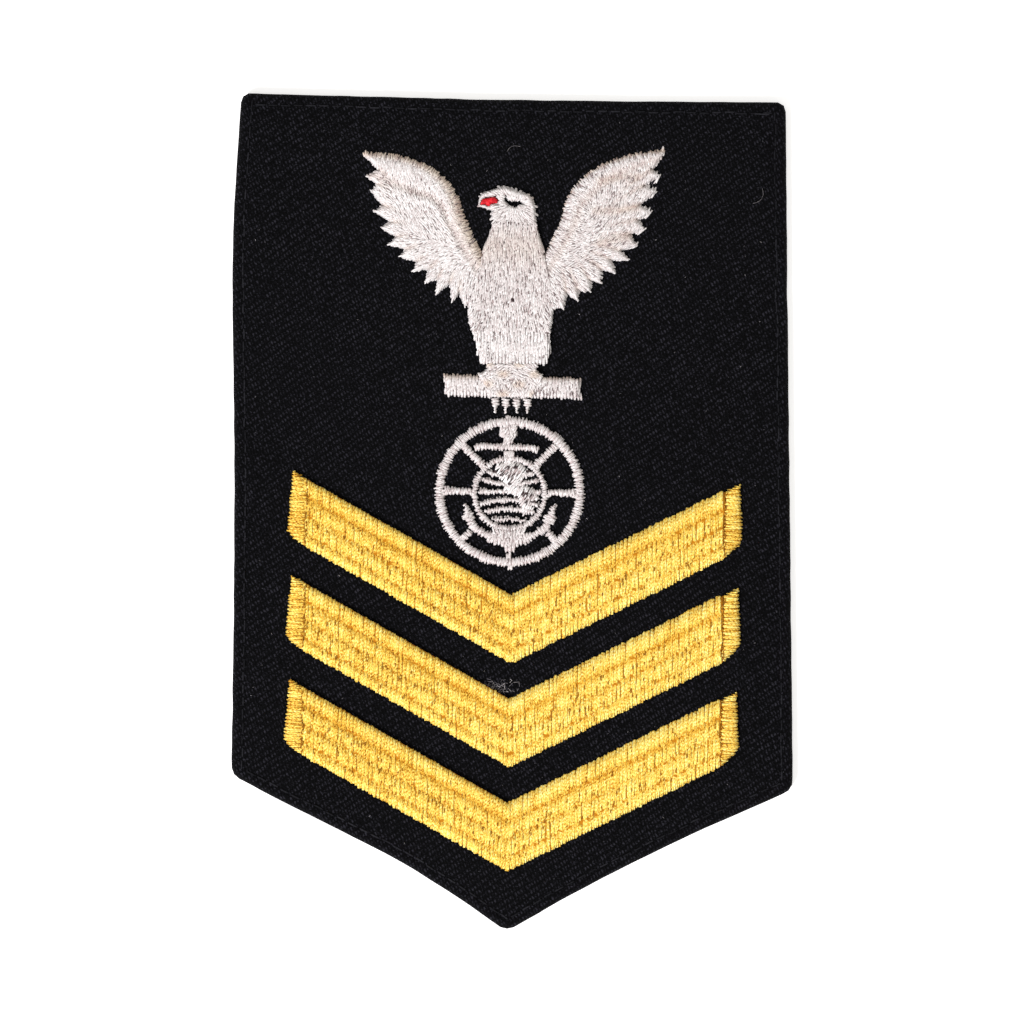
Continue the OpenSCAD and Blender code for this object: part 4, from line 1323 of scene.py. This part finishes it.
def sew_land(node, degrees, middle, spread_to, holes):
    """Hatching that runs a little past its outline, on towards the places in spread_to and round
    holes. Places are shares of the globe's radius from its centre, each hole's with its size."""
    loop = outline(node)[0]
    off = drawn_in(loop, -0.4) - GLOBE
    grown = GLOBE + off * np.minimum(1, (globe_in + 0.15) / np.linalg.norm(off, axis=1, keepdims=True))
    region = Region([finely(grown, 0.6)])
    core = Region([loop])
    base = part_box(node)[0].z / MM - FACE
    high = bed_height(node)
    angle = math.radians(degrees)

    def bed(points):
        gap = core.depth(points)
        return np.where(gap > 0, base + (high - base) * np.clip(gap / 0.4, 0, 1), base + gap * 0.8)

    piece = Piece()
    piece.slab(core, bed, pitch=0.5, under=steady(base))
    for start, end in (scatter(region, steady(angle), 2.0, 1.2, 0.38, swing=0.25),
                       fringe(region, steady(angle), 0.5, 1.0)):
        piece.strew(start, end, bed, middle, 0.22, 0.33, None, (0, 0.12), shares=SHORT)
    for place in spread_to:
        seeds = GLOBE + np.array(place) * globe_in + rng.normal(0, 0.5, (16, 2))
        half = ways(angle) * pick(0.35, 0.7, (16, 1)) + pick(-0.2, 0.2, (16, 2))
        piece.strew(seeds - half, seeds + half, steady(base - 0.1), middle, 0.2, 0.33, None, dip=0.2,
                    shares=SHORT)
    strew_slits(piece, core, bed, 15, angle, 0.7, 0.18, -0.3, 0.3)
    for x, y, length in holes:
        at = GLOBE + np.array([[x, y]]) * globe_in + pick(-0.12, 0.12, (4, 2))
        turn = math.radians(degrees - 40)
        sew_slits(piece, lambda points: bed(points) + 0.08, at, turn, length, 0.3, -0.495, 0.4)
    finish_piece(piece, node)


sew_land("land_north", 56, 0.74, [(-0.05, 0.92), (0.03, 0.14)],
         [(-0.5, 0.66, 0.9), (-0.28, 0.58, 0.6), (0.17, 0.82, 0.8), (0.56, 0.7, 0.8), (0.42, 0.42, 0.5),
          (-0.02, 0.3, 0.4)])
sew_land("land_south", 62, 0.68, [(0.22, 0.1), (0.5, -0.42), (0.72, -0.1)],
         [(0.75, -0.25, 0.8), (0.3, -0.5, 0.5), (0.52, 0.0, 0.5), (0.2, -0.1, 0.3)])
sew_satin("anchor_stock", 90, reach=0.6, ragged=0.16, middle=0.5, mess=0.5)
sew_satin("anchor_shank", 2, reach=0.6, ragged=0.14, middle=0.5, mess=0.5)
sew_strewn("anchor_head", steady(math.radians(80)), 1.4, 0.8, 0.24, 0.9, 0.6, swing=0.5,
           by=("compass_ring", "anchor_stock"))


def sew_arms():
    """The anchor's arms, sewn across as they curve under the globe, with a barb at each fluke."""
    middle = globe_out + 1.4

    def swing(points):
        """Angle from straight below the globe, positive to the right."""
        off = points - GLOBE
        return np.arctan2(off[:, 0], -off[:, 1])

    def swung(points):
        return np.abs(np.degrees(swing(points)))

    def far_out(points):
        return np.linalg.norm(points - GLOBE, axis=1)

    # The arms part from the globe towards their flukes, and meet it below
    loop = finely(outline("anchor_arms")[0], 0.4)
    far = far_out(loop)
    parted = np.interp(swung(loop), [0, 20, 32, 50, 60], [0, 0.2, 0.75, 0.75, 0.2])
    worn = np.interp(swung(loop), [18, 28, 36, 42, 50, 56, 70], [0, 0.3, 0.3, 0, 0, 0.3, 0])
    grown = np.where(far < middle - 0.6, 1 + parted / far, 1 - worn / far)
    loop = GLOBE + (loop - GLOBE) * grown[:, None]
    region = Region([loop])
    high = bed_height("anchor_arms")
    rounded = dome(region, high, reach=0.7)

    def bed(points):
        far = far_out(points)
        joined = (swung(points) < 24) & (far < middle) & (far > globe_out - 0.5)
        return np.where(joined, np.maximum(rounded(points), high - 0.1), rounded(points))

    def place(points):
        angle = points[:, 0] / middle
        return GLOBE + np.column_stack([np.sin(angle), -np.cos(angle)]) * points[:, 1:]

    piece = Piece()
    piece.slab(region, rounded)
    unrolled = np.column_stack([swing(loop) * middle, far_out(loop)])
    start, end, _ = columns([unrolled], 90, cut=bricks(1.9), ragged=0.25)
    piece.strew(start, end, bed, 0.52, vary=None, rise=(0, 0.05), place=place)
    ruffle(piece, start, end, 0.4, bed, 0.52, place=place)
    for degrees in (-58, 58):
        turn = math.radians(degrees + pick(-2, 2))
        at = GLOBE + np.array([math.sin(turn), -math.cos(turn)]) * (middle + 0.2)
        sew_knot(piece, at, degrees * 1.2 + 90 + (180 if degrees < 0 else 0), 0.9, 2.0, high - 0.1, 8)
    # Threads from the crown up over the globe's ring, and darker ones down its middle
    across = np.linspace(-3.0, 3.0, 21) + pick(-0.12, 0.12, 21)
    start = GLOBE + np.column_stack([across, -globe_out + 0.5 + across ** 2 / 18 - pick(-0.2, 0.3, 21)])
    end = start - np.column_stack([across * 0.15, pick(0.9, 1.6, 21)])
    level = steady(high - 0.05)
    piece.strew(start, end, level, 0.52, 0.2, 0.36, None, (-0.05, 0.05), dip=0.2)
    lines = GLOBE + np.column_stack([pick(-1.0, 0.8, 16), pick(-9.4, -6.4, 16)])
    sew_slits(piece, level, lines, pick(1.45, 1.69, 16), 0.8, 0.15, 0.2)
    finish_piece(piece, "anchor_arms")


sew_arms()


# Chevrons

# Degrees the threads across them are turned, and how far apart they lie
TURN = -0.7
GOLD_PITCH = 0.36
# Places of the furrows between rows, from the upper edge as shares of an arm's width, how dark the
# painted shade along each is and how unruly the threads of the rows are, from the lowest row up
FURROWS = np.array([0.0, 0.265, 0.535, 0.81, 1.0])
DARKER = np.array([0, 1.0, 0.6, 0.5, 0])
UNRULY = np.array([0.6, 1.0, 0.9, 0.4])
# How likely a gap between threads is, by its place below the upper edge
GAPS_AT = [0, 0.2, 0.3, 0.45, 0.6, 0.7, 0.8, 0.9, 1]
GAPS = [0, 0.03, 0.2, 0.8, 0.7, 0.35, 0.6, 0.25, 0]


def side_shade(points):
    """Threads on the left lean towards the light, so their colour is painted a little darker there
    and a little lighter on the right, as painted shade against that light.
    """
    return np.where(points[:, 0] < 0, -0.05, 0.02)


def upper_edge(loop):
    """The middle of a band's upper edge and the far ends of it."""
    middle = (loop[:, 0].min() + loop[:, 0].max()) / 2
    inner = loop[np.argsort(np.abs(loop[:, 0] - middle))[:2]]
    outer = loop[np.argsort(np.abs(loop[:, 0] - middle))[2:]]
    left = outer[outer[:, 0] < middle]
    right = outer[outer[:, 0] > middle]
    return inner[inner[:, 1].argmax()], left[left[:, 1].argmax()], right[right[:, 1].argmax()]


def sew_band(k):
    """A band's four ribs of threads, straight up and down across both of its arms."""
    node = f"chevron_{k}_band"
    end_left = f"chevron_{k}_end_left"
    region = region_of(node, end_left, f"chevron_{k}_end_right")
    corners = outline(node)[0]
    apex, left, right = upper_edge(corners)
    down_right = -side_of(unit(right - apex))
    down_left = side_of(unit(left - apex))
    low_point = region.loops[0][region.loops[0][:, 1].argmin()]
    arm_width = float((low_point - apex) @ down_right)
    rounded = dome(region, bed_height(node) - 0.25, low=0.3, reach=0.5)

    def down(points):
        """Distance below the upper edge, square to it."""
        off = points - apex
        return np.maximum(off @ down_right, off @ down_left)

    def bed(points):
        share = np.clip(down(points) / arm_width, 0, 0.9999)
        row = np.searchsorted(FURROWS, share, side="right") - 1
        within = (share - FURROWS[row]) / (FURROWS[row + 1] - FURROWS[row])
        arch = 1 - np.abs(2 * within - 1) ** 2.4
        return rounded(points) + 0.42 * arch * np.clip(region.depth(points), 0, 1)

    # Painted shade, darker and warmer, along the furrows between rows, with the side shade
    def look(points):
        share = (down(points) / arm_width)[:, None]
        shadow = np.sum(DARKER * bell(share, FURROWS, 0.062), axis=1)
        return side_shade(points) - 0.15 * shadow, 1.0 * shadow

    def cut(bottom, top, _):
        loose = np.array([0, 0.02, 0.035, 0.015, 0])
        marks = 1 - FURROWS[::-1] + loose * pick(-1, 1, 5)
        return bottom + (top - bottom) * marks

    piece = Piece()
    piece.slab(region, bed, inset=0.1, pitch=0.8)
    start, end, row = columns([corners], 90 + TURN, GOLD_PITCH, cut, 0.14, lean=0.3)
    way = unit(end - start)
    start = start - way * 0.08
    end = end + way * 0.08
    n = len(start)
    # Columns of four stitches lie in pairs, the second a little proud
    second = (np.arange(n) // 4) % 2
    unruly = UNRULY[row]
    # Ends run on past a furrow, or here and there stop short and leave a slit beside it
    short = pick(0, 1, (n, 2)) < 0.16 * unruly[:, None]
    pulled = np.where(short, pick(0.1, 0.5, (n, 2)), pick(-0.6, -0.1, (n, 2)))
    pulled[:, 0] *= row > 0
    pulled[:, 1] *= row < 3
    way = unit(end - start)
    sway = pick(-0.2, 0.2, (n, 2)) * (0.4 + 0.6 * unruly[:, None])
    sway = sway + (row * 0.4 * GOLD_PITCH)[:, None]
    start = start + way * pulled[:, :1] + side_of(way) * sway[:, :1]
    end = end - way * pulled[:, 1:] + side_of(way) * sway[:, 1:]
    width = 0.58 * (1 - 0.12 * unruly * pick(0, 1, n))
    rise = pick(-0.02, 0.03, n) * (0.4 + unruly) + 0.02 * second
    piece.sew(start, end, bed, tones(n, 0.53, 0.12) + 0.06 * second, width, 0.08, rise=rise, look=look,
              bow=0.1, taper=BLUNT)
    strew_slits(piece, region, bed, 150, math.radians(90 + TURN), 0.75, 0.2,
                chance=lambda p: np.interp(down(p) / arm_width, GAPS_AT, GAPS))
    # Painted shade: dark spots down the grooves beside the ends
    level = steady(bed_height(end_left))
    for inner in (corners[:, 0].min(), corners[:, 0].max()):
        ys = corners[np.abs(corners[:, 0] - inner) < 1.0, 1]
        ys = np.arange(ys.min() + 0.8, ys.max() - 0.5, 1.05)
        spots = np.column_stack([np.full(len(ys), inner), ys]) + pick(-0.2, 0.2, (len(ys), 2))
        sew_slits(piece, level, spots, pick(1.4, 1.75, len(ys)), 0.75, 0.26)
    finish_piece(piece, node, "gold_thread")


for k in (1, 2, 3):
    sew_band(k)
    # The left ends get darker thread than the right: painted shade against the stronger light from the
    # left
    for side, middle in (("left", 0.42), ("right", 0.5)):
        sew_satin(f"chevron_{k}_end_{side}", TURN, 0.33, None, 0.16, 0.5, 1.3, middle, 0.2,
                  kind="gold_thread", thick=0.13, by=(f"chevron_{k}_band",))


# Floor, lights and camera, in metres

# How far the floor reaches each way, and how far below the patch it lies
FLOOR_REACH = 4
FLOOR_DROP = 0.0002
floor_mesh = bpy.data.meshes.new("floor")
corners = [(x * FLOOR_REACH, y * FLOOR_REACH, 0) for x, y in ((-1, -1), (1, -1), (1, 1), (-1, 1))]
floor_mesh.from_pydata(corners, [], [(0, 1, 2, 3)])
floor = placed("floor", floor_mesh, (0, 0, -FLOOR_DROP))
paint = Paint("floor")
paint.feed(paint.shader, {
    "Base Color": (0.93, 0.93, 0.93, 1), "Roughness": 0.9, "Specular IOR Level": 0.1,
    "Emission Color": (1, 1, 1, 1), "Emission Strength": 0.5})
floor_mesh.materials.append(paint.material)


def area_light(name, place, size, power, colour):
    """A round light that faces the patch."""
    data = bpy.data.lights.new(name, "AREA")
    data.shape = "DISK"
    data.size = size
    data.energy = power
    data.color = colour
    placed(name, data, place, (-Vector(place)).to_track_quat("-Z", "Y").to_euler())


area_light("key", (-0.75, -0.85, 1.0), 0.45, 30, (1.0, 0.97, 0.98))
area_light("fill", (0.9, 0.8, 1.2), 1.0, 6, (1.0, 0.93, 0.80))
world = bpy.data.worlds.new("studio")
world.use_nodes = True
sky = world.node_tree.nodes["Background"].inputs
sky["Color"].default_value = (1, 1, 1, 1)
sky["Strength"].default_value = 0.45
bpy.context.scene.world = world
bpy.context.scene.view_settings.view_transform = "Standard"

# Degrees the camera is rolled, where it looks, its height above the patch and how wide a view it has
# there, and the width of its film in millimetres
ROLL = 1.0
CENTRE = (-0.000149, 0.000233)
HEIGHT = 1.2
SPAN = 0.1858
FILM = 36
camera_data = bpy.data.cameras.new("camera")
camera_data.sensor_width = FILM
camera_data.lens = FILM * HEIGHT / SPAN
camera_data.dof.use_dof = False
camera = placed("camera", camera_data, (*CENTRE, HEIGHT + FACE * MM), (0, 0, math.radians(ROLL)))
bpy.context.scene.camera = camera
